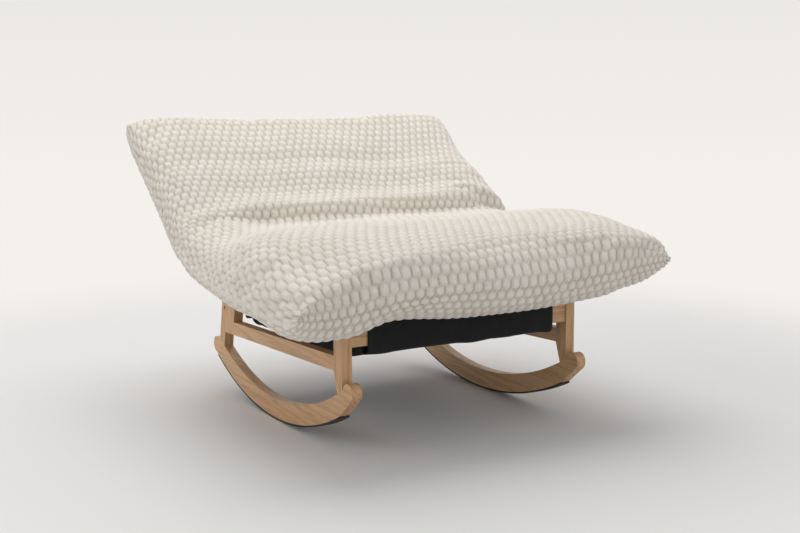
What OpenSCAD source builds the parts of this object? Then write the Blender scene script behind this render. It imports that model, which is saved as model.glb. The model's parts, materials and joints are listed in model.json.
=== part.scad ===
/* [Wooden side frames] */
// Width over the two wooden side frames
frame_w = 720; // [600:5:800]
// Thickness of the planed timber of every wooden piece
stock_t = 28; // [22:1:36]
// Height of the tops of the posts and cross rails above the floor
deck_z = 331; // [310:1:360]
// Distance from the rolling point to the back edge of the front post
front_post_y = 366; // [340:2:390]
// Depth of the front post from front to back, at its top
front_post_d = 42; // [36:1:52]
// How far the front edge of the front post leans out over its height
front_post_lean = 4; // [0:1:8]
// Height at which the back edge of the front post starts to taper
front_taper_z = 207; // [195:1:225]
// How far that taper has drawn in at the foot
front_taper_in = 22; // [10:1:26]
// Distance from the rolling point to the front edge of the rear post, at its top
rear_post_y = 255; // [235:1:280]
// Width of the upper part of the rear post
rear_post_d = 98; // [84:1:110]
// Width of the leg under the shoulder of the rear post
rear_leg_d = 38; // [30:1:48]
// Backward lean of the rear post, in degrees
rear_rake = 11.2; // [6:0.2:14]
// Height of the side rail from top to bottom
side_rail_h = 38; // [30:1:46]
// Height of the top edge of the side rail at the front post
side_rail_z = 247; // [235:1:265]
// Fall of the side rail towards the back, in degrees
side_rail_fall = 2.1; // [0:0.1:3.5]
// Diameter of the dowels in the ends of the rails
rail_dowel_d = 8; // [6:1:10]
// Length of the dowels in the ends of the rails
rail_dowel_l = 40; // [30:1:44]
// Distance between the two dowels in one end of the side rail
rail_dowel_gap = 18; // [14:1:20]
// Diameter of the dowels between posts and runners
foot_dowel_d = 10; // [8:1:12]
// Length of the dowels between posts and runners
foot_dowel_l = 40; // [30:1:44]

/* [Runners] */
// Radius of the arc that the chair rocks on
rock_r = 878; // [820:2:960]
// Depth of a runner
runner_h = 53; // [46:1:60]
// Thickness of the dark strip glued under a runner
strip_t = 5; // [3:0.5:8]
// Distance from the rolling point to the front end of a strip
strip_front_y = 395; // [360:1:398]
// Distance from the rolling point to the rear end of a strip
strip_rear_y = 405; // [370:1:412]
// Radius of the rounded front tip of a runner
front_tip_r = 24; // [18:1:28]
// Distance from the rolling point to the centre of the front tip
front_tip_y = 437; // [434:1:450]
// How far the front tip stands above the foot of the front post
front_tip_up = 21; // [10:1:30]
// Radius of the rounded rear tip of a runner
rear_tip_r = 23; // [18:1:26]
// Distance from the rolling point to the centre of the rear tip
rear_tip_y = 417; // [414:1:430]

/* [Cross rails] */
// Height of the front cross rail from top to bottom
front_rail_h = 60; // [50:1:75]
// How far the front cross rail stands behind the front of the post
front_rail_inset = 4; // [2:1:8]
// Height of the rear cross rail from top to bottom
rear_rail_h = 93; // [85:1:105]
// How far the rear cross rail stands inside the back edge of the rear post
rear_rail_inset = 7.5; // [4:0.5:12]
// Diameter of the shank of the cross rail bolts
bolt_d = 6; // [5:0.5:8]
// Diameter of the heads of the bolts
bolt_head_d = 11; // [9:0.5:13]
// Height of the heads of the bolts
bolt_head_h = 5; // [3:0.5:6]
// Depth that the heads of the cross rail bolts are sunk
bolt_sink = 7; // [5:0.5:10]
// Length of a cross rail bolt in the end of the rail
bolt_reach = 50; // [44:1:60]
// Diameter of the barrel nuts
barrel_d = 10; // [9:0.5:12]
// Length of the barrel nuts
barrel_l = 20; // [16:1:22]
// Distance from the end of a rail to the middle of its barrel nut
barrel_in = 42; // [36:1:43]
// Distance from the top of a rear post to its upper bolt
rear_bolt_top = 29; // [24:1:34]
// Distance between the two bolts in a rear post
rear_bolt_gap = 45; // [36:1:48]
// Distance between the two dowels in one end of the front cross rail
front_dowel_gap = 38; // [30:1:42]

/* [Seat frame] */
// Outer diameter of the steel tube
tube_d = 22; // [19:1:25]
// Wall thickness of the steel tube
tube_wall = 1.5; // [1:0.1:2.5]
// Bend radius of the corners of both tube frames
bend_r = 50; // [40:1:70]
// Distance from the mid-plane to the bolts that hold the seat frame down
hold_down_x = 150; // [100:5:220]
// How far those bolts reach up into the tube
hold_down_reach = 12; // [6:1:14]

/* [Recline hinge] */
// Distance from the rolling point back to the hinge axis
hinge_y = 172; // [160:1:185]
// Height of the hinge axis above the floor
hinge_z = 382; // [378:1:392]
// Tilt of the backrest above level as modelled, in degrees
back_tilt = 38; // [30:1:44]
// Steepest tilt that the backrest is raised to, in degrees
back_tilt_max = 63; // [55:1:66]
// Thickness of the hinge plates
plate_t = 4; // [3:0.5:5]
// Radius of the round end of the fixed hinge plate
bracket_r = 22; // [18:1:23]
// Radius of the round end of the moving hinge arm
arm_r = 19; // [14:1:20]
// Width of the straight part of the hinge arm
arm_w = 24; // [18:1:28]
// Thickness of the friction disc between plate and arm
disc_t = 1; // [0.6:0.1:2]
// Radius of the friction disc
disc_r = 17; // [12:1:18]
// Diameter of the hinge bolt
hinge_bolt_d = 10; // [8:0.5:12]
// Diameter of the round head of the hinge bolt
hinge_head_d = 17; // [14:0.5:19]
// Height of all hexagon nuts
nut_h = 6; // [4:0.5:8]
// Length of thread that stands out past a hinge nut
thread_out = 2; // [0:0.5:4]
// Distance between the two bolts in a hinge plate
bracket_bolt_gap = 24; // [20:1:28]
// Distance from the hinge axis to the first arm bolt
arm_bolt_s = 72; // [66:1:80]
// Distance between the two arm bolts
arm_bolt_gap = 40; // [30:1:44]
// Length of a hinge arm past its last bolt
arm_end = 10; // [8:1:14]
// Gap between the ends of the hinge arms and the cross tube of the back frame
arm_gap = 3; // [1:1:8]

/* [Back frame] */
// Distance from the hinge axis to the lower ends of the back tubes
back_leg_s = 42; // [36:1:50]
// Distance from the top edge of the back cushion down to the middle of the top tube
back_top_in = 40; // [30:2:60]
// Number of elastic straps across the back frame
back_straps_n = 5; // [3:1:6]
// Width of the elastic straps
back_strap_w = 50; // [30:1:60]
// Thickness of all webbing straps
strap_t = 2; // [1:0.1:3]
// Length of strap turned round behind each back tube
strap_turn = 30; // [16:1:50]

/* [Seat cushion] */
// Width of the seat and the back cushion
cushion_w = 1124; // [1000:10:1200]
// Distance from the rolling point to the nose of the seat cushion
seat_nose_y = 572; // [550:2:600]
// Height of the nose of the seat cushion
seat_nose_z = 430; // [410:1:440]
// Height of the seat at the highest point of its crown
seat_top_z = 541; // [530:1:560]
// Height of the seat where it meets the backrest
seat_back_z = 533; // [515:1:536]
// Height of the underside in front of the wooden frame
seat_low_z = 316; // [306:1:330]
// Share of the thickness left at the sewn side edges
side_share = 0.86; // [0.5:0.02:0.9]
// How far the brow of the seat lies behind its nose
brow_in = 160; // [120:5:200]
// How far the brow lies below the highest point of the crown
brow_drop = 30; // [20:1:40]
// Share of the thickness left over the pointed front corners of the seat
corner_share = 0.72; // [0.5:0.02:0.9]
// Share of the thickness left under those corners
corner_under = 0.45; // [0.3:0.02:0.9]
// How far the sides are drawn in between the corners
side_draw = 5; // [0:1:30]
// How far the underside of the seat hangs beside the wooden frame
side_droop = 14; // [0:1:24]
// How far that underside has risen again at the rear end of the seat
side_lift = 34; // [0:1:40]
// Clearance between soft pieces and what they lie against
soft_gap = 0.3; // [0.2:0.05:0.6]

/* [Back cushion] */
// Radius of the rolled lower end of the back cushion about the hinge
roll_r = 110; // [100:1:112]
// Clearance round that roll in the end of the seat cushion
roll_gap = 4; // [3:0.5:6]
// Height over the frame plane of the fold across the foot of the back cushion
fold_n = 119; // [112:1:122]
// Depth of the crease under that fold
crease_drop = 6; // [2:1:10]
// Height of the back cushion over the frame plane at its hollow
back_hollow_n = 103; // [95:1:108]
// Depth of the shallow valley across the middle of the back cushion
valley_drop = 9; // [2:1:14]
// Height of the back cushion over the frame plane near its top
back_top_n = 102; // [90:1:106]
// Distance from the hinge axis to the top edge of the back cushion
back_len = 600; // [590:1:620]
// How far behind its top the neck of the back cushion lies
neck_in = 118; // [90:2:140]
// Height of the middle of the sewn side edge over the frame plane
back_seam_n = 56; // [48:1:62]
// Thickness of the padded rear panel
panel_t = 8; // [5:0.5:10]
// How far the edges of the rear panel turn up towards the cushion
panel_rise = 24; // [16:1:28]

/* [Bag between the rails] */
// Distance from the side frames to the sides of the bag
bag_in = 47; // [32:1:90]
// Height of the lowest point of the bag
bag_low_z = 203; // [196:1:212]
// Height of the bag at the front cross rail
bag_front_z = 258; // [250:1:266]
// How far the rear end of the bag's underside stands above its lowest point
bag_heel = 20; // [12:1:40]
// Distance from the rolling point to the sewn groove across the bag
groove_y = 198; // [180:1:215]
// Height that the sewn groove draws the bag up
groove_h = 30; // [14:1:34]
// Number of straps under the bag
bag_straps_n = 4; // [3:1:6]
// Width of the straps under the bag
bag_strap_w = 45; // [30:1:60]
// Distance from the sides of the bag to the middle of the outer straps
bag_strap_in = 60; // [40:1:90]
// Length of strap fixed to the face of a cross rail
strap_up = 40; // [25:1:50]
// Thickness of the black cloth round the cross rails
cloth_t = 3; // [1.5:0.5:4]
// How far the black cloth hangs below the front cross rail
cloth_hang = 28; // [12:1:32]
// Distance from the side frames to the ends of the black cloth
cloth_in = 46; // [32:1:80]

/* [Hidden] */
$fn = 64;

// A glue line or drilled hole is this much wider than what sits in it
fit = 0.1;
// Radial clearance of the turning hinge bolt
turn_fit = 0.05;
// Gap between the faces that slide in the hinge
slide_gap = 0.1;
// Cuts run this far past a face
past = 1;
// A counterbore is this much wider than the head in it
head_fit = 1;
// Width of a nut over its corners, in thread diameters
nut_wide = 1.9;

oak = [0.84, 0.68, 0.5];
steel = [0.2, 0.2, 0.21];
zinc = [0.72, 0.72, 0.74];
cream = [0.93, 0.91, 0.86];
black = [0.06, 0.06, 0.07];
webbing = [0.16, 0.16, 0.17];

runner_low_r = rock_r - strip_t;
runner_top_r = runner_low_r - runner_h;
frame_in_x = frame_w / 2 - stock_t;
frame_mid_x = frame_in_x + stock_t / 2;
rake = tan(rear_rake);
fall = tan(side_rail_fall);
side_rail_low = side_rail_z - side_rail_h;
front_out_y = front_post_y + front_post_d;
front_foot_y = front_out_y + front_post_lean;
tube_r = tube_d / 2;
tube_z = deck_z + tube_r;
tube_top = deck_z + tube_d;
back_top_s = back_len - back_top_in;
arm_l = arm_bolt_s + arm_bolt_gap + arm_end;
back_cross_s = arm_l + arm_gap + tube_r;
bag_x = frame_in_x - bag_in;
cloth_x = frame_in_x - cloth_in;
seat_floor = tube_top + soft_gap;

// Height of an arc of radius r about the rocking centre, at distance y from the rolling point
function arc_z(r, y) = rock_r - sqrt(r * r - y * y);
// Front and back edges of the rear post at height z
function rear_front(z) = rear_post_y + (deck_z - z) * rake;
function rear_back(z) = rear_front(z) + rear_post_d;
// Point where the front edge of the rear post, moved back by d, crosses a sloping rail edge
function rail_meets(d, front_z) =
    let (b = front_z - front_post_y * fall,
         y = (rear_post_y + d + (deck_z - b) * rake) / (1 - rake * fall))
    [y, b - y * fall];
// Middle of the rear cross rail at height z
function rear_rail_y(z) = rear_back(z) - rear_rail_inset - stock_t / 2;
front_rail_y = -(front_out_y - front_rail_inset - stock_t / 2);
rear_rail_low = deck_z - rear_rail_h;

// Extrudes a profile drawn in the Y-Z plane from x0 to x1
module across(x0, x1) {
    translate([x0, 0, 0]) rotate([90, 0, 90]) linear_extrude(x1 - x0) children();
}

// Places a piece of the right side frame on the side s, which is -1 or 1
module on_side(s) {
    if (s > 0) children();
    else mirror([1, 0, 0]) children();
}

// A cylinder along X from x0 to x1 at height z and depth y
module rod_x(x0, x1, y, z, d) {
    translate([x0, y, z]) rotate([0, 90, 0]) cylinder(h = x1 - x0, d = d);
}

// A cylinder along Y from y0 to y1
module rod_y(x, y0, y1, z, d) {
    translate([x, y0, z]) rotate([-90, 0, 0]) cylinder(h = y1 - y0, d = d);
}

// A cylinder along Z from z0 to z1
module rod_z(x, y, z0, z1, d) {
    translate([x, y, z0]) cylinder(h = z1 - z0, d = d);
}

// Runners

front_tip_z = arc_z(runner_top_r, front_foot_y) + front_tip_up - front_tip_r;
rear_tip_z = arc_z(runner_low_r, rear_tip_y) + rear_tip_r;

// A disc of radius r about the rocking centre, in the Y-Z plane
module rocking_disc(r) {
    translate([0, rock_r]) circle(r, $fn = 180);
}

// The front end is chamfered from the end of the strip to the tip's circle. Both tips overlap
// the arc by a hair, so that no three edges meet in a point.
module runner_profile() {
    chamfer_angle = 235;
    hair = 0.1;
    overlap = 10;
    tip = [-front_tip_y, front_tip_z];
    strip_end = [-strip_front_y, arc_z(runner_low_r, strip_front_y)];
    edge = tip + front_tip_r * [cos(chamfer_angle), sin(chamfer_angle)];
    along = (strip_end - edge) / norm(strip_end - edge);
    out = [along[1], -along[0]];
    root = strip_end - 3 * overlap * along;
    difference() {
        union() {
            difference() {
                rocking_disc(runner_low_r);
                rocking_disc(runner_top_r);
                translate([-2 * rock_r, rock_r / 2]) square(4 * rock_r);
                translate([0, rear_tip_z + rear_tip_r - hair]) square(rock_r);
                translate([rear_tip_y + hair, -past]) square(rock_r);
                translate([-front_tip_y - rock_r, -past]) square(rock_r);
            }
            translate([rear_tip_y, rear_tip_z]) circle(rear_tip_r);
            translate(tip) circle(front_tip_r);
            polygon([tip, edge - 2 * along + overlap * out, root + overlap * out,
                root - 2 * overlap * out]);
        }
        polygon([edge - stock_t * along, edge - stock_t * along + 2 * stock_t * out,
            strip_end + stock_t * along + 2 * stock_t * out, strip_end + stock_t * along]);
    }
}

front_dowel_y = -(front_foot_y + front_post_y + front_taper_in) / 2;
rear_dowel_y = rear_back(arc_z(runner_top_r, front_post_y)) - rear_leg_d / 2;
function foot_dowel_z(y) = arc_z(runner_top_r, abs(y)) - foot_dowel_l / 2;

module foot_dowel_holes() {
    for (y = [front_dowel_y, rear_dowel_y])
        rod_z(frame_mid_x, y, foot_dowel_z(y) - past, foot_dowel_z(y) + foot_dowel_l + past,
            foot_dowel_d + 2 * fit);
}

module runner(s) {
    color(oak) on_side(s) difference() {
        across(frame_in_x, frame_w / 2) runner_profile();
        foot_dowel_holes();
    }
}

module left_runner() { runner(-1); }
module right_runner() { runner(1); }

module runner_strip(s) {
    color(black) on_side(s) across(frame_in_x, frame_w / 2) difference() {
        rocking_disc(rock_r);
        rocking_disc(runner_low_r);
        translate([-2 * rock_r, rock_r / 2]) square([4 * rock_r, 2 * rock_r]);
        translate([strip_rear_y, -past]) square(2 * rock_r);
        translate([-2 * rock_r - strip_front_y, -past]) square(2 * rock_r);
    }
}

module left_runner_strip() { runner_strip(-1); }
module right_runner_strip() { runner_strip(1); }

// Posts and side rails

side_dowel_front = -front_post_y;
side_dowel_rear = rail_meets(0, side_rail_z - side_rail_h / 2)[0];
function side_rail_mid(y) = side_rail_z - side_rail_h / 2 - (y + front_post_y) * fall;

module side_dowel_holes() {
    for (y = [side_dowel_front, side_dowel_rear], k = [-1, 1])
        rod_y(frame_mid_x, y - rail_dowel_l / 2 - past, y + rail_dowel_l / 2 + past,
            side_rail_mid(y) + k * rail_dowel_gap / 2, rail_dowel_d + 2 * fit);
}

// Heights of the bolts that hold the cross rails
front_bolt_z = deck_z - front_rail_h / 2;
rear_bolt_z = [deck_z - rear_bolt_top, deck_z - rear_bolt_top - rear_bolt_gap];

module bolt_hole(y, z) {
    rod_x(frame_in_x - bolt_reach - past, frame_w / 2 + past, y, z, bolt_d + 2 * fit);
    rod_x(frame_w / 2 - bolt_sink, frame_w / 2 + past, y, z, bolt_head_d + head_fit);
}

module front_rail_dowel_holes() {
    for (k = [-1, 1])
        rod_x(frame_in_x - rail_dowel_l / 2 - past, frame_in_x + rail_dowel_l / 2 + past,
            front_rail_y, front_bolt_z + k * front_dowel_gap / 2, rail_dowel_d + 2 * fit);
}

module front_post(s) {
    color(oak) on_side(s) difference() {
        across(frame_in_x, frame_w / 2) intersection() {
            rocking_disc(runner_top_r - fit);
            polygon([
                [-front_post_y, deck_z],
                [-front_out_y, deck_z],
                [-front_foot_y, strip_t],
                [-front_post_y - front_taper_in, strip_t],
                [-front_post_y - front_taper_in, arc_z(runner_top_r, front_post_y)],
                [-front_post_y, front_taper_z]]);
        }
        foot_dowel_holes();
        side_dowel_holes();
        bolt_hole(front_rail_y, front_bolt_z);
        front_rail_dowel_holes();
    }
}

module left_front_post() { front_post(-1); }
module right_front_post() { front_post(1); }

module rear_post(s) {
    leg_back = rear_post_d - rear_leg_d;
    color(oak) on_side(s) difference() {
        across(frame_in_x, frame_w / 2) intersection() {
            rocking_disc(runner_top_r - fit);
            polygon([
                [rear_front(deck_z), deck_z],
                [rear_back(deck_z), deck_z],
                [rear_back(0), 0],
                [rear_back(0) - rear_leg_d, 0],
                rail_meets(leg_back, side_rail_low),
                rail_meets(0, side_rail_low)]);
        }
        foot_dowel_holes();
        side_dowel_holes();
        for (z = rear_bolt_z) bolt_hole(rear_rail_y(z), z);
    }
}

module left_rear_post() { rear_post(-1); }
module right_rear_post() { rear_post(1); }

module side_rail(s) {
    color(oak) on_side(s) difference() {
        across(frame_in_x, frame_w / 2) polygon([
            [-front_post_y + fit, side_rail_z],
            [-front_post_y + fit, side_rail_low],
            rail_meets(-fit, side_rail_low),
            rail_meets(-fit, side_rail_z)]);
        side_dowel_holes();
    }
}

module left_side_rail() { side_rail(-1); }
module right_side_rail() { side_rail(1); }

// Cross rails and what joins the frame

// Holes for the hold-down bolts, from under a rail whose lower face is at low, into the tube
module hold_down_hole(y, low, lean) {
    under = low - deck_z - stock_t;
    for (x = [-hold_down_x, hold_down_x])
        translate([x, y, deck_z]) rotate([lean, 0, 0]) translate([0, 0, under]) {
            cylinder(h = tube_r - under, d = bolt_d + 2 * fit);
            cylinder(h = stock_t + bolt_sink, d = bolt_head_d + head_fit);
        }
}

module front_holds() { hold_down_hole(front_rail_y, deck_z - front_rail_h, 0); }
module rear_holds() { hold_down_hole(rear_rail_y(deck_z), rear_rail_low, rear_rake); }

module front_cross_rail() {
    end_x = frame_in_x - fit;
    color(oak) difference() {
        translate([-end_x, front_rail_y - stock_t / 2, deck_z - front_rail_h])
            cube([2 * end_x, stock_t, front_rail_h]);
        front_holds();
        for (s = [-1, 1]) on_side(s) {
            bolt_hole(front_rail_y, front_bolt_z);
            front_rail_dowel_holes();
            rod_y(frame_in_x - barrel_in, front_rail_y - barrel_l / 2 - fit,
                front_rail_y + stock_t, front_bolt_z, barrel_d + 2 * fit);
        }
    }
}

module rear_cross_rail() {
    end_x = frame_in_x - fit;
    color(oak) difference() {
        across(-end_x, end_x) polygon([
            for (e = [[-1, rear_rail_low], [1, rear_rail_low], [1, deck_z], [-1, deck_z]])
                [rear_rail_y(e[1]) + e[0] * stock_t / 2, e[1]]]);
        rear_holds();
        for (s = [-1, 1], z = rear_bolt_z) on_side(s) {
            bolt_hole(rear_rail_y(z), z);
            rod_y(frame_in_x - barrel_in, rear_rail_y(z) - stock_t,
                rear_rail_y(z) + barrel_l / 2 + fit, z, barrel_d + 2 * fit);
        }
    }
}

module frame_dowels() {
    half = rail_dowel_l / 2;
    color(oak) for (s = [-1, 1]) on_side(s) {
        for (y = [front_dowel_y, rear_dowel_y])
            rod_z(frame_mid_x, y, foot_dowel_z(y), foot_dowel_z(y) + foot_dowel_l, foot_dowel_d);
        for (y = [side_dowel_front, side_dowel_rear], k = [-1, 1])
            rod_y(frame_mid_x, y - half, y + half, side_rail_mid(y) + k * rail_dowel_gap / 2,
                rail_dowel_d);
        for (k = [-1, 1])
            rod_x(frame_in_x - half, frame_in_x + half, front_rail_y,
                front_bolt_z + k * front_dowel_gap / 2, rail_dowel_d);
    }
}

// A round head with a hexagon socket, facing along X in the direction out
module socket_head(x, y, z, out) {
    translate([x, y, z]) rotate([0, 90 * out, 0]) difference() {
        cylinder(h = bolt_head_h, d = bolt_head_d);
        translate([0, 0, bolt_head_h / 2]) cylinder(h = bolt_head_h, d = bolt_d, $fn = 6);
    }
}

module cross_rail_bolt(y, z) {
    head_x = frame_w / 2 - bolt_sink;
    rod_x(frame_in_x - bolt_reach, head_x + fit, y, z, bolt_d);
    socket_head(head_x, y, z, 1);
}

module cross_rail_bolts() {
    color(zinc) for (s = [-1, 1]) on_side(s) {
        cross_rail_bolt(front_rail_y, front_bolt_z);
        for (z = rear_bolt_z) cross_rail_bolt(rear_rail_y(z), z);
    }
}

module barrel_nut(y, z) {
    difference() {
        rod_y(frame_in_x - barrel_in, y - barrel_l / 2, y + barrel_l / 2, z, barrel_d);
        rod_x(frame_in_x - barrel_in - barrel_d, frame_in_x, y, z, bolt_d + fit);
    }
}

module barrel_nuts() {
    color(zinc) for (s = [-1, 1]) on_side(s) {
        barrel_nut(front_rail_y, front_bolt_z);
        for (z = rear_bolt_z) barrel_nut(rear_rail_y(z), z);
    }
}

// Steel seat frame

bracket_x = frame_mid_x + tube_r;
seat_tube_front = front_rail_y;
seat_tube_rear = rear_rail_y(tube_z);

// A flat loop of round bar in the X-Y plane between y0 and y1, open at y0 if open is true
module bent_loop(half_x, y0, y1, d, open) {
    straight_0 = open ? y0 : y0 + bend_r;
    for (s = [-1, 1]) {
        translate([s * half_x, straight_0, 0]) rotate([-90, 0, 0])
            cylinder(h = y1 - bend_r - straight_0, d = d);
        translate([s * (half_x - bend_r), y1 - bend_r, 0])
            rotate([0, 0, s > 0 ? 0 : 90]) rotate_extrude(angle = 90)
                translate([bend_r, 0]) circle(d = d);
        if (!open)
            translate([s * (half_x - bend_r), y0 + bend_r, 0])
                rotate([0, 0, s > 0 ? -90 : 180]) rotate_extrude(angle = 90)
                    translate([bend_r, 0]) circle(d = d);
    }
    for (y = open ? [y1] : [y0, y1])
        translate([bend_r - half_x, y, 0]) rotate([0, 90, 0])
            cylinder(h = 2 * (half_x - bend_r), d = d);
}

bracket_bolt_y = [hinge_y - bracket_bolt_gap / 2, hinge_y + bracket_bolt_gap / 2];

module bracket_bolt_holes() {
    for (s = [-1, 1], y = bracket_bolt_y) on_side(s)
        rod_x(frame_mid_x - tube_d, bracket_x + plate_t + past, y, tube_z, bolt_d + 2 * fit);
}

module seat_frame() {
    color(steel) difference() {
        translate([0, 0, tube_z])
            bent_loop(frame_mid_x, seat_tube_front, seat_tube_rear, tube_d, false);
        translate([0, 0, tube_z])
            bent_loop(frame_mid_x, seat_tube_front, seat_tube_rear,
                tube_d - 2 * tube_wall, false);
        front_holds();
        rear_holds();
        bracket_bolt_holes();
    }
}

// The same place's bolts, with their heads sunk into the lower face
module hold_down_bolt(y, low, lean) {
    head_z = low - deck_z + bolt_sink;
    for (x = [-hold_down_x, hold_down_x])
        translate([x, y, deck_z]) rotate([lean, 0, 0]) translate([0, 0, head_z]) {
            cylinder(h = hold_down_reach - head_z, d = bolt_d);
            mirror([0, 0, 1]) difference() {
                cylinder(h = bolt_head_h, d = bolt_head_d);
                translate([0, 0, bolt_head_h / 2])
                    cylinder(h = bolt_head_h, d = bolt_d, $fn = 6);
            }
        }
}

module hold_down_bolts() {
    color(zinc) {
        hold_down_bolt(front_rail_y, deck_z - front_rail_h, 0);
        hold_down_bolt(rear_rail_y(deck_z), rear_rail_low, rear_rake);
    }
}

// Recline hinge

disc_x = bracket_x + plate_t;
arm_x = disc_x + disc_t + slide_gap;
back_leg_x = arm_x + plate_t + tube_r;

module hinge_bracket(s) {
    color(steel) on_side(s) difference() {
        across(bracket_x, bracket_x + plate_t) {
            translate([hinge_y, hinge_z]) circle(bracket_r);
            translate([hinge_y - bracket_r, deck_z + fit])
                square([2 * bracket_r, hinge_z - deck_z]);
        }
        bracket_bolt_holes();
        rod_x(bracket_x - past, bracket_x + plate_t + past, hinge_y, hinge_z,
            hinge_bolt_d + 2 * turn_fit);
    }
}

module left_hinge_bracket() { hinge_bracket(-1); }
module right_hinge_bracket() { hinge_bracket(1); }

module bracket_bolts() {
    color(zinc) for (s = [-1, 1], y = bracket_bolt_y) on_side(s) {
        rod_x(frame_mid_x - tube_r - nut_h, disc_x + fit, y, tube_z, bolt_d);
        socket_head(disc_x, y, tube_z, 1);
    }
}

// A hexagon nut along X from x0, with a hole for a thread of diameter d
module nut_x(x0, y, z, d) {
    translate([x0, y, z]) rotate([0, 90, 0]) difference() {
        cylinder(h = nut_h, d = nut_wide * d, $fn = 6);
        translate([0, 0, -past]) cylinder(h = nut_h + 2 * past, d = d + fit);
    }
}

module bracket_nuts() {
    color(zinc) for (s = [-1, 1], y = bracket_bolt_y) on_side(s)
        nut_x(frame_mid_x - tube_r - nut_h, y, tube_z, bolt_d);
}

module friction_discs() {
    color(black) for (s = [-1, 1]) on_side(s) difference() {
        rod_x(disc_x, disc_x + disc_t, hinge_y, hinge_z, 2 * disc_r);
        rod_x(disc_x - past, disc_x + disc_t + past, hinge_y, hinge_z,
            hinge_bolt_d + 2 * turn_fit);
    }
}

module hinge_bolts() {
    head_x = arm_x + plate_t + slide_gap;
    color(zinc) for (s = [-1, 1]) on_side(s) {
        rod_x(bracket_x - nut_h - thread_out, head_x + fit, hinge_y, hinge_z, hinge_bolt_d);
        rod_x(head_x, head_x + bolt_head_h, hinge_y, hinge_z, hinge_head_d);
    }
}

module hinge_nuts() {
    color(zinc) for (s = [-1, 1]) on_side(s)
        nut_x(bracket_x - nut_h, hinge_y, hinge_z, hinge_bolt_d);
}

// Backrest frame, drawn along Y from the hinge axis with Z as its front side

module on_back() {
    translate([0, hinge_y, hinge_z]) rotate([back_tilt, 0, 0]) children();
}

arm_bolt_at = [arm_bolt_s, arm_bolt_s + arm_bolt_gap];

module arm_bolt_holes() {
    for (s = [-1, 1], y = arm_bolt_at) on_side(s)
        rod_x(arm_x - past, back_leg_x + tube_d, y, 0, bolt_d + 2 * fit);
}

module hinge_arm(s) {
    color(steel) on_back() on_side(s) difference() {
        across(arm_x, arm_x + plate_t) {
            circle(arm_r);
            translate([0, -arm_w / 2]) square([arm_l - arm_w / 2, arm_w]);
            translate([arm_l - arm_w / 2, 0]) circle(d = arm_w);
        }
        arm_bolt_holes();
        rod_x(arm_x - past, arm_x + plate_t + past, 0, 0, hinge_bolt_d + 2 * turn_fit);
    }
}

module left_hinge_arm() { hinge_arm(-1); }
module right_hinge_arm() { hinge_arm(1); }

module arm_bolts() {
    color(zinc) on_back() for (s = [-1, 1], y = arm_bolt_at) on_side(s) {
        rod_x(arm_x - fit, back_leg_x + tube_r + nut_h, y, 0, bolt_d);
        socket_head(arm_x, y, 0, -1);
    }
}

module arm_nuts() {
    color(zinc) on_back() for (s = [-1, 1], y = arm_bolt_at) on_side(s)
        nut_x(back_leg_x + tube_r, y, 0, bolt_d);
}

module back_tubes(d, cross_x) {
    bent_loop(back_leg_x, back_leg_s, back_top_s, d, true);
    rod_x(-cross_x, cross_x, back_cross_s, 0, d);
}

module back_frame() {
    bore = tube_d - 2 * tube_wall;
    color(steel) on_back() difference() {
        back_tubes(tube_d, back_leg_x);
        bent_loop(back_leg_x, back_leg_s - past, back_top_s, bore, true);
        rod_x(-back_leg_x, back_leg_x, back_cross_s, 0, bore);
        arm_bolt_holes();
    }
}

strap_first = back_cross_s + tube_d + back_strap_w / 2;
strap_last = back_top_s - bend_r - back_strap_w / 2;
strap_step = (strap_last - strap_first) / (back_straps_n - 1);

// Cross-section of a strap hooked round both legs of the back frame, in the X-Z plane
module strap_hook() {
    inner = tube_r + soft_gap;
    outer = inner + strap_t;
    difference() {
        union() {
            square([2 * back_leg_x, 2 * outer], center = true);
            for (s = [-1, 1]) translate([s * back_leg_x, 0]) circle(outer);
        }
        square([2 * back_leg_x, 2 * inner], center = true);
        for (s = [-1, 1]) translate([s * back_leg_x, 0]) circle(inner);
        translate([strap_turn - back_leg_x, -2 * outer])
            square([2 * (back_leg_x - strap_turn), 2 * outer]);
    }
}

module back_straps() {
    color(webbing) on_back() for (k = [0 : back_straps_n - 1])
        translate([0, strap_first + k * strap_step + back_strap_w / 2, 0]) rotate([90, 0, 0])
            linear_extrude(back_strap_w) strap_hook();
}

// Soft forms: closed rings of points from one side edge to the other

// Share of the thickness lost between the mid-plane and the sides
crown_fall = 0.06;

// Points of a Bezier curve from a to d with the handles b and c, without its last point
function bow(a, b, c, d, n) = [for (i = [0 : n - 1]) let (t = i / n, r = 1 - t)
    r * r * r * a + 3 * r * r * t * b + 3 * r * t * t * c + t * t * t * d];

// Points of a curve that is level at a and at b, without its last point
function wave(a, b, n) = let (m = (a[0] + b[0]) / 2) bow(a, [m, a[1]], [m, b[1]], b, n);

// Points of a straight line from a to b, without its last point
function line(a, b, n) = [for (i = [0 : n - 1]) a + (b - a) * i / n];

// Places across the width, closer together towards the two edges
function edge_steps(n) = [for (k = [-n : n])
    let (r = 1 - abs(k) / n) (k < 0 ? -1 : 1) * (1 - r * r)];

// Share of the thickness at the place u between the mid-plane and the side edge, where the share
// edge is left: a power of 8 keeps it full almost to the edge, and 4 lets it fall off early
function puff(u, edge, power = 8) =
    edge + (1 - edge) * (1 - crown_fall * u * u) * sqrt(1 - pow(abs(u), power));

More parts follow.
